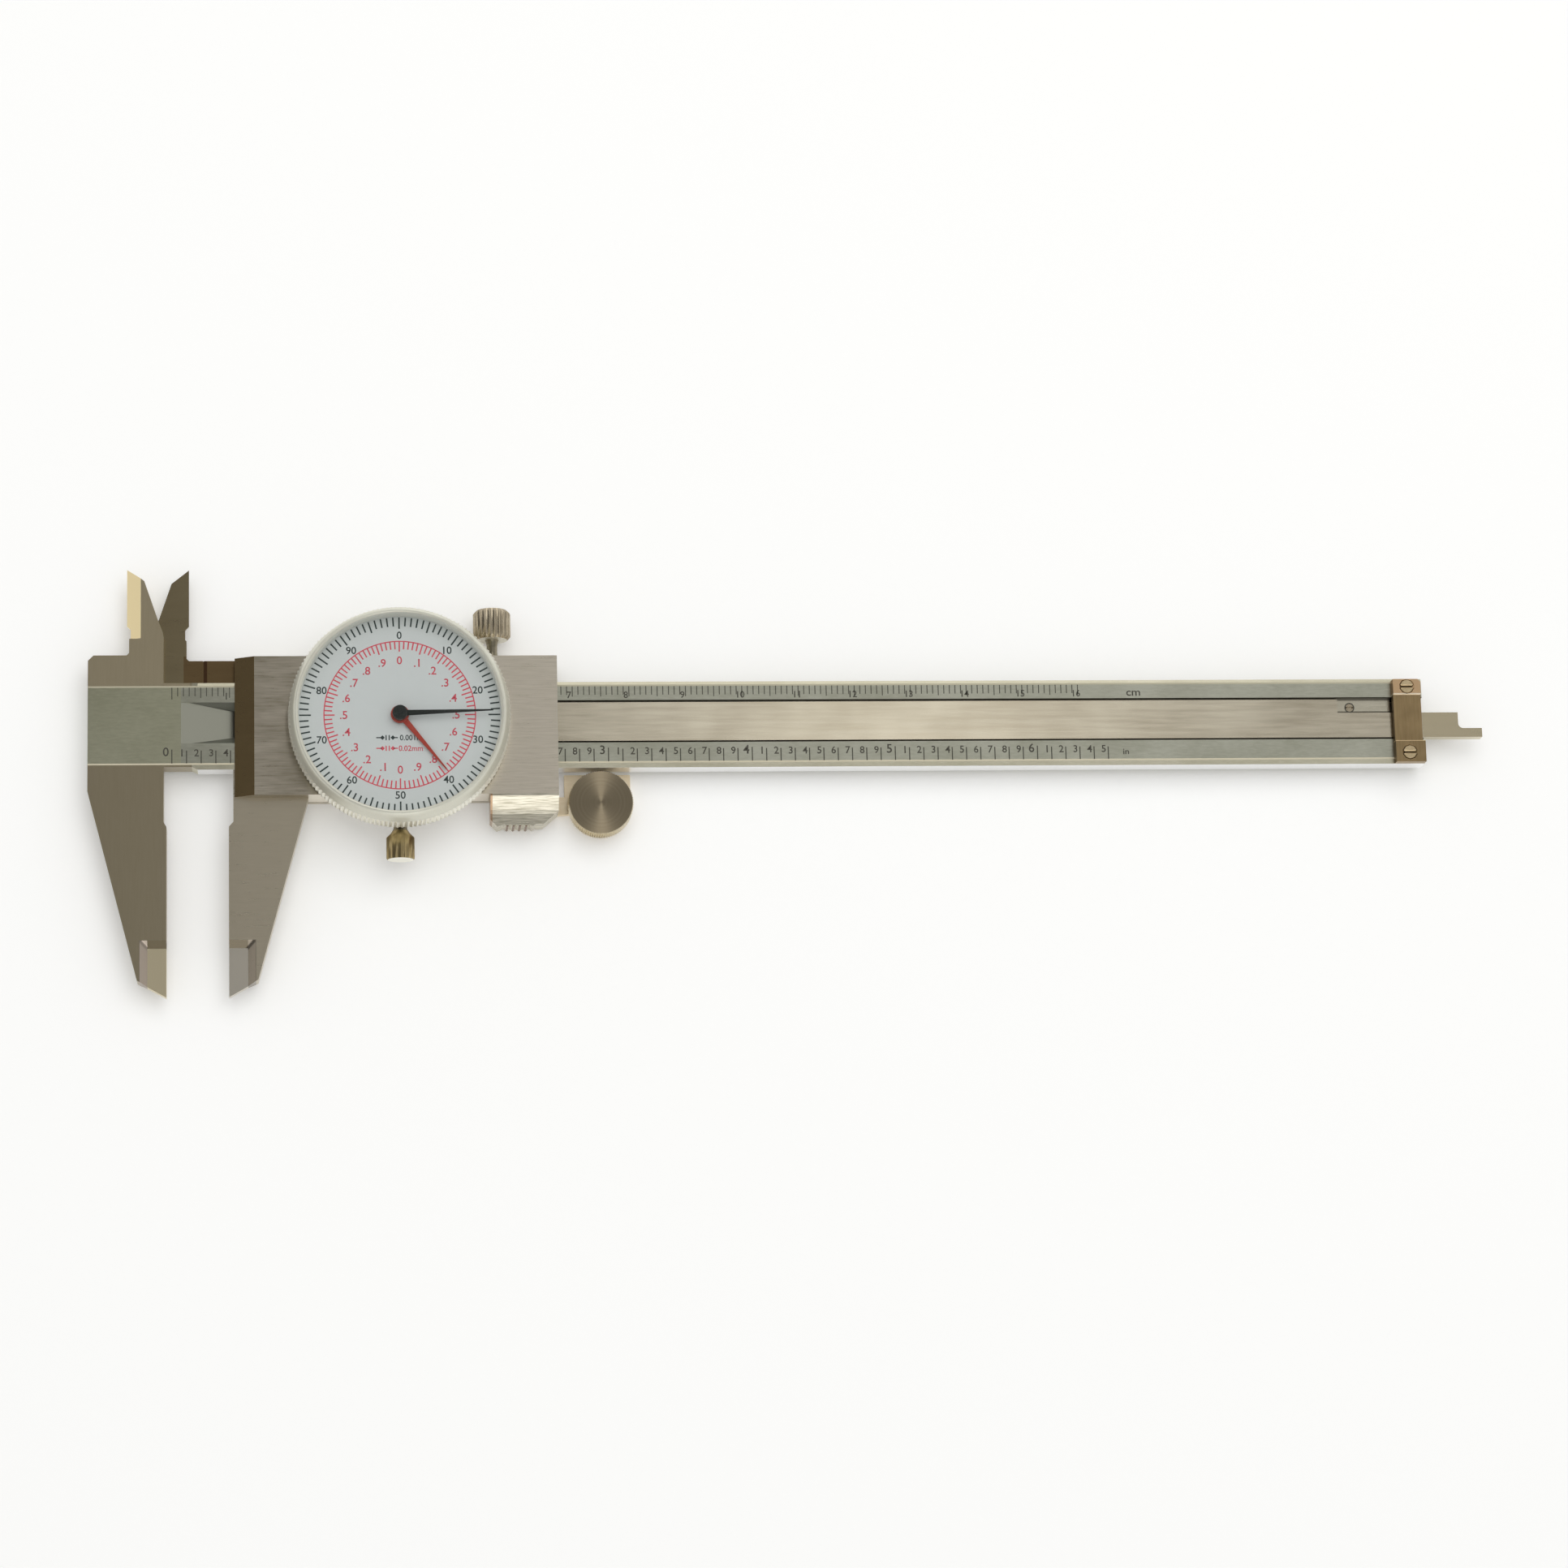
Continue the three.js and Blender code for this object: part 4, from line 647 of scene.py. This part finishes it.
for place, radiance in ((in_strip, strip_level), (in_panels, panel_level)):
    overhead = add_node(sky_tree, "ShaderNodeMath", {0: place, 2: overhead}, {1: radiance},
                        operation="MULTIPLY_ADD").outputs[0]
horizon = add_node(sky_tree, "ShaderNodeMapRange", {"Value": toward["Z"]},
                   {"From Min": horizon_z[0], "From Max": horizon_z[1]}).outputs["Result"]
reflected = add_node(sky_tree, "ShaderNodeMath", {0: overhead, 1: horizon},
                     operation="MAXIMUM").outputs[0]
rays = add_node(sky_tree, "ShaderNodeLightPath").outputs
shiny = add_node(sky_tree, "ShaderNodeMath",
                 {0: rays["Is Glossy Ray"], 1: rays["Is Transmission Ray"]}, operation="MAXIMUM")
in_steel = add_node(sky_tree, "ShaderNodeMapRange",
                    {"Value": shiny.outputs[0], "To Max": reflected}, {"To Min": room_level})
level = add_node(sky_tree, "ShaderNodeMath",
                 {0: in_steel.outputs["Result"], 1: rays["Is Camera Ray"]}, operation="MAXIMUM")
sky_tree.links.new(level.outputs[0], sky.inputs["Strength"])
bpy.context.scene.view_settings.view_transform = "Standard"
print("nodes in the sky:", len(sky_tree.nodes))

# %% [markdown]
# ## Tools for making pieces
# Every new piece is a small mesh that bmesh operators shape: a bar is a cube scaled and turned, and a
# turned part is a half section spun once round its axis. A finished piece stays at the origin with
# its place in its mesh and rides on the body that carries it.

# %% Helpers for pieces
same_place = 0.0005 * mm


def piece(name, bm, body, slot, *materials):
    """Makes a bmesh into an object that rides on a body."""
    bmesh.ops.remove_doubles(bm, verts=bm.verts, dist=same_place)
    bmesh.ops.recalc_face_normals(bm, faces=bm.faces)
    mesh = bpy.data.meshes.new(name)
    bm.to_mesh(mesh)
    bm.free()
    obj = bpy.data.objects.new(name, mesh)
    bpy.context.scene.collection.objects.link(obj)
    for material in materials:
        mesh.materials.append(material)
    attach(obj, body)
    print(name, "faces:", len(mesh.polygons))
    return obj


def add_bar(bm, x, y, z, width, height, depth, turn=0.0):
    """A bar centred on x and y that stands on z, turned about Z through its middle."""
    place = Matrix.Translation((x, y, z + depth / 2)) @ Matrix.Rotation(turn, 4, "Z")
    shape = Matrix.Diagonal((width, height, depth, 1))
    bmesh.ops.create_cube(bm, size=1, matrix=place @ shape)


def spun(profile, centre, steps):
    """A half section, as radius and height pairs in mm, spun once round an axis along Z."""
    bm = bmesh.new()
    verts = [bm.verts.new(Vector(centre) + Vector((radius * mm, 0, height * mm)))
             for radius, height in profile]
    edges = [bm.edges.new(pair) for pair in zip(verts, verts[1:])]
    bmesh.ops.spin(bm, geom=verts + edges, cent=centre, axis=(0, 0, 1), angle=2 * pi, steps=steps,
                   use_merge=True, use_duplicate=False)
    bmesh.ops.remove_doubles(bm, verts=bm.verts, dist=same_place)
    return bm


def join(bm, other):
    """Moves all of another bmesh into this one."""
    mesh = bpy.data.meshes.new("joined")
    other.to_mesh(mesh)
    other.free()
    bm.from_mesh(mesh)


def soften(bm, width, angle=30, segments=2):
    """Breaks every edge that is sharper than angle, as a stone does. width in mm."""
    sharp = [e for e in bm.edges if e.is_manifold and e.calc_face_angle(0) > radians(angle)]
    bmesh.ops.bevel(bm, geom=sharp, offset=width * mm, offset_type="OFFSET", segments=segments,
                    profile=0.5, affect="EDGES", clamp_overlap=True, material=-1)


def smooth(obj, angle=35):
    """Shades an object smooth, except over edges sharper than angle."""
    mesh = obj.data
    for polygon in mesh.polygons:
        polygon.use_smooth = True
    bm = bmesh.new()
    bm.from_mesh(mesh)
    for edge in bm.edges:
        edge.smooth = edge.is_manifold and edge.calc_face_angle(0) < radians(angle)
    bm.to_mesh(mesh)
    bm.free()
    return obj


ink = 0.012 * mm
print("ink stands out, mm:", ink / mm)

# %% [markdown]
# ## Lettering
# Plain figures are cut from Blender's own font. Each word becomes a flat mesh first, is centred on
# its own box, and only then goes to its place, so its strokes sit where the figures of the real
# scale do whatever the font's margins are.

# %% Words as meshes
word_meshes = {}
curve_steps = 3
# Figures are engraved a little bolder than the font draws them.
added_weight = 0.012


def word_mesh(text):
    """A word of height 1, centred on the origin, with a thin body."""
    if text not in word_meshes:
        curve = bpy.data.curves.new("word", "FONT")
        curve.body = text
        curve.resolution_u = curve_steps
        curve.offset = added_weight
        obj = bpy.data.objects.new("word", curve)
        bpy.context.scene.collection.objects.link(obj)
        graph = bpy.context.evaluated_depsgraph_get()
        mesh = bpy.data.meshes.new_from_object(obj.evaluated_get(graph))
        bpy.data.objects.remove(obj)
        bm = bmesh.new()
        bm.from_mesh(mesh)
        low = Vector([min(v.co[i] for v in bm.verts) for i in range(3)])
        high = Vector([max(v.co[i] for v in bm.verts) for i in range(3)])
        tall = high.y - low.y if any(c.isalnum() for c in text) else 1
        bmesh.ops.translate(bm, verts=bm.verts, vec=-(low + high) / 2)
        bmesh.ops.scale(bm, verts=bm.verts, vec=(1 / tall, 1 / tall, 1))
        raised = bmesh.ops.extrude_face_region(bm, geom=bm.faces[:])["geom"]
        top = [g for g in raised if isinstance(g, bmesh.types.BMVert)]
        bmesh.ops.translate(bm, verts=top, vec=(0, 0, 1))
        bm.to_mesh(mesh)
        bm.free()
        word_meshes[text] = mesh
    return word_meshes[text]


def add_word(bm, text, x, y, z, height, width_share=1.0):
    """Adds a word to a bmesh in ink, upright and centred on x and y."""
    before = len(bm.verts)
    bm.from_mesh(word_mesh(text))
    bm.verts.ensure_lookup_table()
    fresh = bm.verts[before:]
    place = Matrix.Translation((x, y, z)) @ Matrix.Diagonal((height * width_share, height, ink, 1))
    bmesh.ops.transform(bm, matrix=place, verts=fresh)


print("a figure has", len(word_mesh("8").vertices), "points")

# %% [markdown]
# ## Scales on the beam
# The upper edge of the beam is divided into millimetres up to 160, numbered in centimetres, and the
# lower edge into tenths of an inch up to six and a half, with a small figure for each tenth and a
# taller one for each inch. They are etched and blackened on the real beam. Here each stroke is a
# hair's breadth of dark paint on the face, because a cut as shallow as an etching would not show.

# %% Divide the beam
inch = 25.4 * mm
millimetres, tenths = 161, 66
scale_zero = 0.93 * mm
stroke, fine_stroke = 0.2 * mm, 0.16 * mm
upper_start, lower_start = scale_high - 0.15 * mm, scale_low + 0.1 * mm
zero_line, half_line, fine_line = 2.1 * mm, 1.85 * mm, 1.55 * mm
inch_line, tenth_line = 2.5 * mm, 2.3 * mm
scale_marks = bmesh.new()
for i in range(millimetres):
    length = zero_line if i == 0 else half_line if i % 5 == 0 else fine_line
    x = scale_zero + i * mm
    add_bar(scale_marks, x, upper_start - length / 2, beam_front, fine_stroke, length, ink)
for i in range(tenths):
    length = inch_line if i % 10 == 0 else tenth_line
    x = scale_zero + i * inch / 10
    add_bar(scale_marks, x, lower_start + length / 2, beam_front, stroke, length, ink)
print("strokes on the beam:", millimetres + tenths)

# %% Number the beam
centimetre_y, centimetre_height = scale_high - 1.7 * mm, 1.2 * mm
for i in range(1, 17):
    left_of_line = (0.55 if i < 10 else 0.2) * mm
    x = scale_zero + i * 10 * mm - left_of_line
    add_word(scale_marks, str(i), x, centimetre_y, beam_front, centimetre_height)
# Each figure of the inch scale: its height, how far left of its line, and how high over the edge.
inch_figure = (1.6 * mm, 1.05 * mm, scale_low + 2.2 * mm)
tenth_figure = (1.3 * mm, 0.8 * mm, scale_low + 2.0 * mm)
for i in range(tenths):
    height, left_of_line, y = inch_figure if i % 10 == 0 else tenth_figure
    text = str(i // 10 if i % 10 == 0 else i % 10)
    x = scale_zero + i * inch / 10 - left_of_line
    add_word(scale_marks, text, x, y, beam_front, height)
# Each unit: its letters, how far along the scale, its place on Y, its height and its width share.
units = (("cm", 170, scale_high - 1.75 * mm, 0.95, 1.15),
         ("in", 168.3, scale_low + 1.45 * mm, 1.0, 1.1))
for text, x, y, height, width_share in units:
    add_word(scale_marks, text, scale_zero + x * mm, y, beam_front, height * mm, width_share)
piece("beam_scales", scale_marks, "beam", "hand_black", scale_ink)

# %% [markdown]
# ## Border lines and the rack's screw
# Where the grinding meets the chrome, a bright line frames the scale on each side. The rack's screw
# stands in a clearance hole, finer than the solid holds, whose shade is painted as a dark ring. Both
# are drawn a hair's breadth high on the face: the lines are bars, and the ring is a spun section.

# %% Frame the scale
line_width = 0.3 * mm
line_from, line_to = beam_low.x + 0.05 * mm, stop_low.x
line_middle, line_length = (line_from + line_to) / 2, line_to - line_from
border = bmesh.new()
for y in (scale_low, scale_high):
    add_bar(border, line_middle, y, beam_front, line_length, line_width, ink)
border_steel = fine_paint("bright_border_cut", "#cdc5ab", "#dad2b8", 0.8, 0.35, Metallic=0.3)
# painted shade: the upper border line is painted darker than the lower one
top_line_shade_y = (centre_y, beam_high.y)
shade_zones(border_steel, ((beam_low.x, beam_high.x), top_line_shade_y, "#bcb69e"))
piece("scale_border_lines", border, "beam", "beam_steel", border_steel)


# %% Ring the rack's screw
def flat_ring(inner, outer, z, centre, steps):
    """A ring that lies on z like ink, all in mm but its centre."""
    top = z + ink / mm
    return spun([(inner, z), (outer, z), (outer, top), (inner, top), (inner, z)], centre, steps)


screw_x, screw_y = middle_of("rack_screw_right").xy
screw_radius, gap_width = radius_of("rack_screw_right"), 0.2
# painted shade: a dark ring round the rack's screw for the shade in its clearance hole
screw_ring_shade = flat_ring(screw_radius, screw_radius + gap_width, rack_high.z / mm,
                      (screw_x, screw_y, 0), 48)
piece("rack_screw_shade_ring", screw_ring_shade, "beam", "hand_black", scale_ink)

# %% [markdown]
# ## Run-out of the channel
# The cutter that mills the channel rises out of the beam near the jaws, and each wall of the channel
# casts a wedge of shadow on its side of the ramp. That shadow is painted: a dark sloping wedge lies
# along each side. A wedge has only four corners, its point, the end of its upper edge and two on the
# floor, so one hull drawn round them is its shape.

# %% Painted shadow wedges in the run-out
channel_low_y, channel_high_y = channel_y
wedge_from, wedge_to, wedge_width = 3.9 * mm, 17.3 * mm, 2.2 * mm
point_z, edge_z, ramp_z = (beam_front - depth * mm for depth in (0.25, 0.02, 2.4))
wedge_shadow_mesh = bmesh.new()
for wall_y, inwards in ((channel_high_y, -1), (channel_low_y, 1)):
    corners = [
        (wedge_from, wall_y, point_z),
        (wedge_to, wall_y, edge_z),
        (wedge_to, wall_y, ramp_z),
        (wedge_to, wall_y + inwards * wedge_width, ramp_z),
    ]
    bmesh.ops.convex_hull(wedge_shadow_mesh, input=[wedge_shadow_mesh.verts.new(corner) for corner in corners])
# painted shadow: dark steel for the wedges that stand for the shadow of the channel's walls
wedge_shadow_steel = ground_steel("painted_wedge_shadow_steel", "#5f6056", "#6f7064", along_beam, roughness=0.5,
                           metallic=0.6)
piece("runout_painted_shadow", wedge_shadow_mesh, "beam", "beam_steel", wedge_shadow_steel)

# %% [markdown]
# ## Dial
# The disc is enamelled and printed in two inks. The outer black circle has a hundred divisions of a
# thousandth of an inch, the inner red one a hundred of two hundredths of a millimetre, and each has
# its own figures, all upright. The disc is a spun section with a broken edge, which replaces the
# frame's coarser ring, and the print lies on it as ink does.

# %% Enamelled disc
dial_centre = (dial_x, dial_y, 0)
face_low, face_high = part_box("dial_face")
face_back, face_front = face_low.z / mm, face_high.z / mm
face_bore, face_radius = 1.3, radius_of("dial_face")
face_section = [
    (face_bore, face_back), (face_radius, face_back), (face_radius, face_front - 0.04),
    (face_radius - 0.05, face_front), (face_bore, face_front), (face_bore, face_back),
]
disc = spun(face_section, dial_centre, 180)
disc_piece = smooth(piece("enamelled_disc", disc, "bezel", "dial_enamel", dial_enamel))
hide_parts("dial_face")


# %% Divide the dial
def around(radius, share):
    """Place on the dial at a radius in mm, a share of a turn clockwise from the top, and that angle."""
    angle = -2 * pi * share
    return dial_x - radius * mm * sin(angle), dial_y + radius * mm * cos(angle), angle


face_top = face_high.z
black_print, red_print = bmesh.new(), bmesh.new()
divisions = 100
# Each circle of divisions: its outer radius, where its fifth and its other lines end, and their width.
circles = ((black_print, 17.45, 15.4, 15.85, 0.27), (red_print, 13.1, 11.3, 11.75, 0.24))
for inks, outer, fifth, single, width in circles:
    for i in range(divisions):
        reach = fifth if i % 5 == 0 else single
        x, y, angle = around((reach + outer) / 2, i / divisions)
        add_bar(inks, x, y, face_top, width * mm, (outer - reach) * mm, ink, angle)
print("lines on the dial:", len(circles) * divisions)

# %% Print the dial
thousandths = [str(i * 10) for i in range(10)]
tenths_of_mm = ["." + str(i % 10) if i % 10 else "0" for i in range(20)]
# Each circle of figures: its radius, the height of a figure, and the figures clockwise from the top.
for inks, radius, height, figures in ((black_print, 14.25, 1.35, thousandths),
                                      (red_print, 9.75, 1.45, tenths_of_mm)):
    for i, figure in enumerate(figures):
        x, y, _ = around(radius, i / len(figures))
        add_word(inks, figure, x, y, face_top, height * mm)
# Before the value of a division stands its sign: two arrows that point at two uprights. An arrow is
# a bar with a lozenge for its head.
bars = ((-3.65, 0.95, 0.2), (-0.75, 0.7, 0.2), (-2.42, 0.2, 0.9), (-1.88, 0.2, 0.9))
lozenges, lozenge_side = (-3.05, -1.25), 0.58 * mm
for inks, text, y in ((black_print, "0.001in", -4.05), (red_print, "0.02mm", -5.95)):
    line = dial_y + y * mm
    add_word(inks, text, dial_x + 1.85 * mm, line, face_top, 1.0 * mm, 0.95)
    for x, wide, tall in bars:
        add_bar(inks, dial_x + x * mm, line, face_top, wide * mm, tall * mm, ink)
    for x in lozenges:
        add_bar(inks, dial_x + x * mm, line, face_top, lozenge_side, lozenge_side, ink, pi / 4)
piece("black_print", black_print, "bezel", "hand_black", black_ink)
join(red_print, flat_ring(13.05, 13.25, face_front, dial_centre, 160))
piece("red_print", red_print, "bezel", "hand_red", red_ink)

# %% [markdown]
# ## Knurled bezel
# A finger turns the dial by the skirt of its bezel, which is cut into about a hundred and fifty fine
# serrations. The section is spun in two steps for each serration, and then every second column of
# the skirt's outer wall is pushed in. That needs no more faces than a plain fine ring.

# %% Serrations
def columns(bm, centre, radius, low, high):
    """Points of an outer wall, each with its place from the axis. Radius and heights in mm."""
    slack = 0.02
    for vert in bm.verts:
        flat = Vector((vert.co.x - centre[0], vert.co.y - centre[1]))
        if abs(flat.length / mm - radius) < slack and low - slack < vert.co.z / mm < high + slack:
            yield vert, flat


def serrate(bm, centre, wall, count, depth):
    """Pushes in every second column of a wall spun in 2 * count steps. wall and depth in mm."""
    radius, low, high = wall
    step = pi / count
    share = (radius - depth) / radius
    for vert, flat in columns(bm, centre, radius, low, high):
        turn = (flat.angle_signed(Vector((1, 0))) % (2 * pi)) / step
        if round(turn) % 2:
            vert.co.x = centre[0] + flat.x * share
            vert.co.y = centre[1] + flat.y * share


serrations, serration_depth = 150, 0.5
print("width of a serration, mm:", round(2 * pi * radius_of("bezel_ring") / serrations, 2))

# %% Bezel
skirt_radius, skirt_low, skirt_high = 19.4, 5.25, 8.75
bezel_bore, bezel_back, face_seat = 18.25, 5.0, 8.62
bezel_section = [
    (bezel_bore, bezel_back), (19.2, bezel_back), (skirt_radius, skirt_low), (skirt_radius, skirt_high),
    (19.12, 9.15), (19.0, 9.5), (18.86, 10.3), (18.62, 11.2), (18.4, 11.75), (18.22, 11.96),
    (18.0, 12.02), (17.76, 11.97), (17.62, 11.8), (17.6, face_seat), (bezel_bore, face_seat),
    (bezel_bore, bezel_back),
]
bezel = spun(bezel_section, dial_centre, 2 * serrations)
serrate(bezel, dial_centre, (skirt_radius, skirt_low, skirt_high), serrations, serration_depth)
bezel_piece = piece("knurled_bezel", bezel, "bezel", "bezel_steel",
                    bezel_chrome, pale_nylon, skirt_highlight_chrome)
smooth(bezel_piece, 50)
# The lip inside the rim wears the pale ring that holds the crystal; the skirt, a painted highlight.
lip_reach, lip_from = 17.65 * mm, 8.5 * mm
skirt_from, skirt_to = 18.9 * mm, 9 * mm
for polygon in bezel_piece.data.polygons:
    out = Vector(polygon.center) - Vector((dial_x, dial_y, polygon.center.z))
    if out.length < lip_reach and polygon.center.z > lip_from:
        polygon.material_index = 1
    elif out.length > skirt_from and polygon.center.z < skirt_to:
        polygon.material_index = 2
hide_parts("bezel_ring")

# %% [markdown]
# ## Crystal
# The crystal is a moulded disc whose upper face swells a quarter millimetre towards its middle, which
# keeps it stiff. It is one more spun section, and a parabola gives the heights of its dome.

# %% Crystal
dome_foot, dome_rise, dome_radius = 12.1, 0.25, 17.8
crystal_section = [(0, 11.2), (17.5, 11.2), (17.58, 11.3), (17.58, 11.95), (17.45, 12.12)]
crystal_section += [(r, dome_foot + dome_rise * (1 - (r / dome_radius) ** 2))
                    for r in (16.5, 14, 11, 8, 4, 0)]
crystal = spun(crystal_section, dial_centre, 120)
crystal_piece = smooth(piece("domed_crystal", crystal, "bezel", "crystal", crystal_acrylic), 50)
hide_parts("crystal")

# %% [markdown]
# ## Hands
# Each hand is a thin blade that narrows to a point over its circle of divisions, on a round boss
# pressed on its arbor. The blade is a bar drawn in at its far end and softened, and the boss a spun
# cap. They turn with their own arbors, so each rides on its own pointer. Both stand at the top when
# the jaws are closed, and how far the jaws are open gives their turns.

# %% Hands
opening = 10.782
inch_turn, metric_turn = -2 * pi * opening / 2.54, -2 * pi * opening / 2


def make_hand(name, node, body, slot, finish, turn, length, low, boss_high, root, boss):
    """A tapered blade with a domed boss, in mm. A negative turn is clockwise from the top."""
    edge, stud, stud_rise, thickness, tip = 0.15, 0.4, 0.1, 0.2, 0.22
    cap = [(0, low), (boss, low), (boss, boss_high - edge), (boss - edge, boss_high),
           (stud + 0.05, boss_high), (stud, boss_high + stud_rise), (0, boss_high + stud_rise)]
    bm = spun(cap, dial_centre, 48)
    blade = bmesh.new()
    add_bar(blade, 0, length / 2 * mm, low * mm, root * mm, length * mm, thickness * mm)
    far = [v for v in blade.verts if v.co.y > length / 2 * mm]
    bmesh.ops.scale(blade, verts=far, vec=(tip / root, 1, 1))
    soften(blade, 0.02)
    place = Matrix.Translation(dial_centre) @ Matrix.Rotation(turn, 4, "Z")
    bmesh.ops.transform(blade, matrix=place, verts=blade.verts)
    join(bm, blade)
    hand = smooth(piece(name, bm, body, slot, finish))
    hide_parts(node)


make_hand("black_hand", "inch_hand", "inch_pointer", "hand_black", black_lacquer, inch_turn,
          length=16.2, low=10.0, boss_high=11.0, root=1.05, boss=1.3)
make_hand("red_hand", "metric_hand", "metric_pointer", "hand_red", red_lacquer, metric_turn,
          length=12.6, low=9.1, boss_high=9.5, root=1.15, boss=1.6)

# %% [markdown]
# ## Thumb roller and lock screws
# All three are turned from bar and then knurled straight, so each is a spun section with serrated
# walls. The lock screws stand along Y: they are spun upright and then turned over onto their places.
# Their necks are slimmer than their threads, and the faces that look down the picture are painted
# as bright as the bezel's skirt, a painted highlight.

# %% Roller
roller_centre = (roller_middle.x, roller_middle.y, 0)
roller_radius = radius_of("thumb_roller")
roller_low, roller_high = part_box("thumb_roller")
roller_back, roller_front = roller_low.z / mm, roller_high.z / mm
edge, hub_radius, hub_back = 0.2, 1.7, 0.2
roller_rim, roller_waist = roller_radius - edge, roller_middle.z / mm
roller_wall = (roller_radius, roller_back + edge, roller_front - edge)
roller_section = [
    (0, hub_back), (hub_radius, hub_back), (hub_radius, roller_back), (roller_rim, roller_back),
    (roller_radius, roller_back + edge), (roller_radius, roller_waist),
    (roller_radius, roller_front - edge), (roller_rim, roller_front), (0, roller_front),
]
roller_ribs, rib_depth = 84, 0.36
roller = spun(roller_section, roller_centre, 2 * roller_ribs)
serrate(roller, roller_centre, roller_wall, roller_ribs, rib_depth)
roller_piece = piece("knurled_roller", roller, "roller", "slide_steel", roller_steel, rim_steel)
smooth(roller_piece, 40)
for polygon in roller_piece.data.polygons:
    polygon.material_index = 0 if polygon.normal.z > 0.6 else 1
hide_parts("thumb_roller")


# %% Knobs
def make_knob(name, node, body, slot, finish, section, wall, count, depth):
    """A knurled screw spun upright and laid along Y, with its heights measured along Y in mm."""
    bm = spun(section, (0, 0, 0), 2 * count)
    serrate(bm, (0, 0, 0), wall, count, depth)
    middle = middle_of(node)
    lay = Matrix.Translation((middle.x, centre_y, middle.z)) @ Matrix.Rotation(-pi / 2, 4, "X")
    bmesh.ops.transform(bm, matrix=lay, verts=bm.verts)
    knob = smooth(piece(name, bm, body, slot, finish, skirt_highlight_chrome, neck_steel), 40)
    neck_reach, square_on = 1.5 * mm, 0.95
    for polygon in knob.data.polygons:
        from_axis = Vector((polygon.center.x - middle.x, polygon.center.z - middle.z)).length
        # painted highlight: faces that look down the picture take the bright chrome
        if polygon.normal.y < -square_on:
            polygon.material_index = 1
        elif from_axis < neck_reach and polygon.normal.y < square_on:
            polygon.material_index = 2
    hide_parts(node)


# %% Lock screws
lock_radius, lock_from, lock_to = 3.29, 16.2, 20.3
lock_section = [
    (0, 9.4), (1.2, 9.4), (1.2, 12.33), (1.02, 12.63), (0.92, 13.6), (0.95, 14.6), (1.1, 15.3),
    (1.25, 15.6), (2.7, 15.6), (lock_radius, lock_from), (lock_radius, lock_to), (2.7, 20.9), (0, 20.9),
]
make_knob("slide_lock_knob", "slide_lock_screw", "slide_lock", "bright_steel", screw_steel,
          lock_section, (lock_radius, lock_from, lock_to), 26, 0.28)
clamp_radius, clamp_from, clamp_to = 2.46, -24.0, -20.3
clamp_section = [
    (0, -24.2), (2.26, -24.2), (clamp_radius, clamp_from), (clamp_radius, clamp_to), (1.75, -19.6),
    (1.4, -19.1), (1.2, -18.7), (1.2, -18.5), (1.45, -18.2), (1.45, -17.5), (1.0, -17.3),
    (1.0, -11.3), (0, -11.3),
]
make_knob("bezel_lock_knob", "bezel_lock_screw", "bezel_lock", "bronze_steel", bronze_steel,
          clamp_section, (clamp_radius, clamp_from, clamp_to), 20, 0.24)

# %% [markdown]
# ## Ground pieces with broken edges
# A stone is drawn along every edge of a measuring tool so that it doesn't cut the hand. The frame's
# solids have dead sharp edges, so the pieces that show are copied, their loose triangles are merged,
# and each sharp edge gets a bevel of about a tenth of a millimetre that catches the light.

# %% Break the edges
def stoned(name, node, body, slot, width, finish):
    """A merged copy of a node of the frame with its sharp edges broken. width in mm."""
    bm = bmesh.new()
    bm.from_mesh(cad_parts[node].data)
    bmesh.ops.remove_doubles(bm, verts=bm.verts, dist=0.002 * mm)
    bmesh.ops.dissolve_degenerate(bm, edges=bm.edges, dist=0.001 * mm)
    soften(bm, width, angle=20, segments=1)
    copy = piece(name, bm, body, slot, finish)
    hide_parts(node)


stoned("stoned_end_stop", "end_stop", "beam", "bronze_steel", 0.1, stop_steel)
for side in ("upper", "lower"):
    stoned("stoned_stop_screw_" + side, "end_stop_screw_" + side, "beam", "bronze_steel", 0.14,
           brown_screw_steel)
stoned("stoned_bracket", "roller_bracket", "slide", "bronze_steel", 0.08, bracket_light_steel)

# %% [markdown]
# ## Finishes of the frame's own pieces
# Whatever the frame shows or hides keeps its shape and gets the finish of its material. The names
# tell what each one is, so a short table is enough.

# %% Finish the frame
finish_of = {
    "beam": beam_steel, "slide_frame": slide_steel, "depth_rod": rod_steel, "rack": rack_steel,
    "back_cover": cover_steel, "end_stop": stop_steel, "end_stop_screw_upper": brown_screw_steel,
    "end_stop_screw_lower": brown_screw_steel, "roller_bracket": bracket_light_steel,
    "thumb_roller": roller_steel, "dial_case": bezel_chrome, "bezel_ring": bezel_chrome,
    "crystal": crystal_acrylic, "crystal_gasket": pale_nylon, "dial_face": dial_enamel,
    "inch_hand": black_lacquer, "metric_hand": red_lacquer, "bezel_lock_screw": bronze_steel,
}
brass_pieces = ("gib", "pinion_bush", "movement_bridge", "inch_wheel", "metric_wheel")
for name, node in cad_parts.items():
    finish = finish_of.get(name, movement_brass if name in brass_pieces else screw_steel)
    if not node.material_slots:
        node.data.materials.append(finish)
    for slot in node.material_slots:
        slot.material = finish
print("finished nodes:", len(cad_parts))
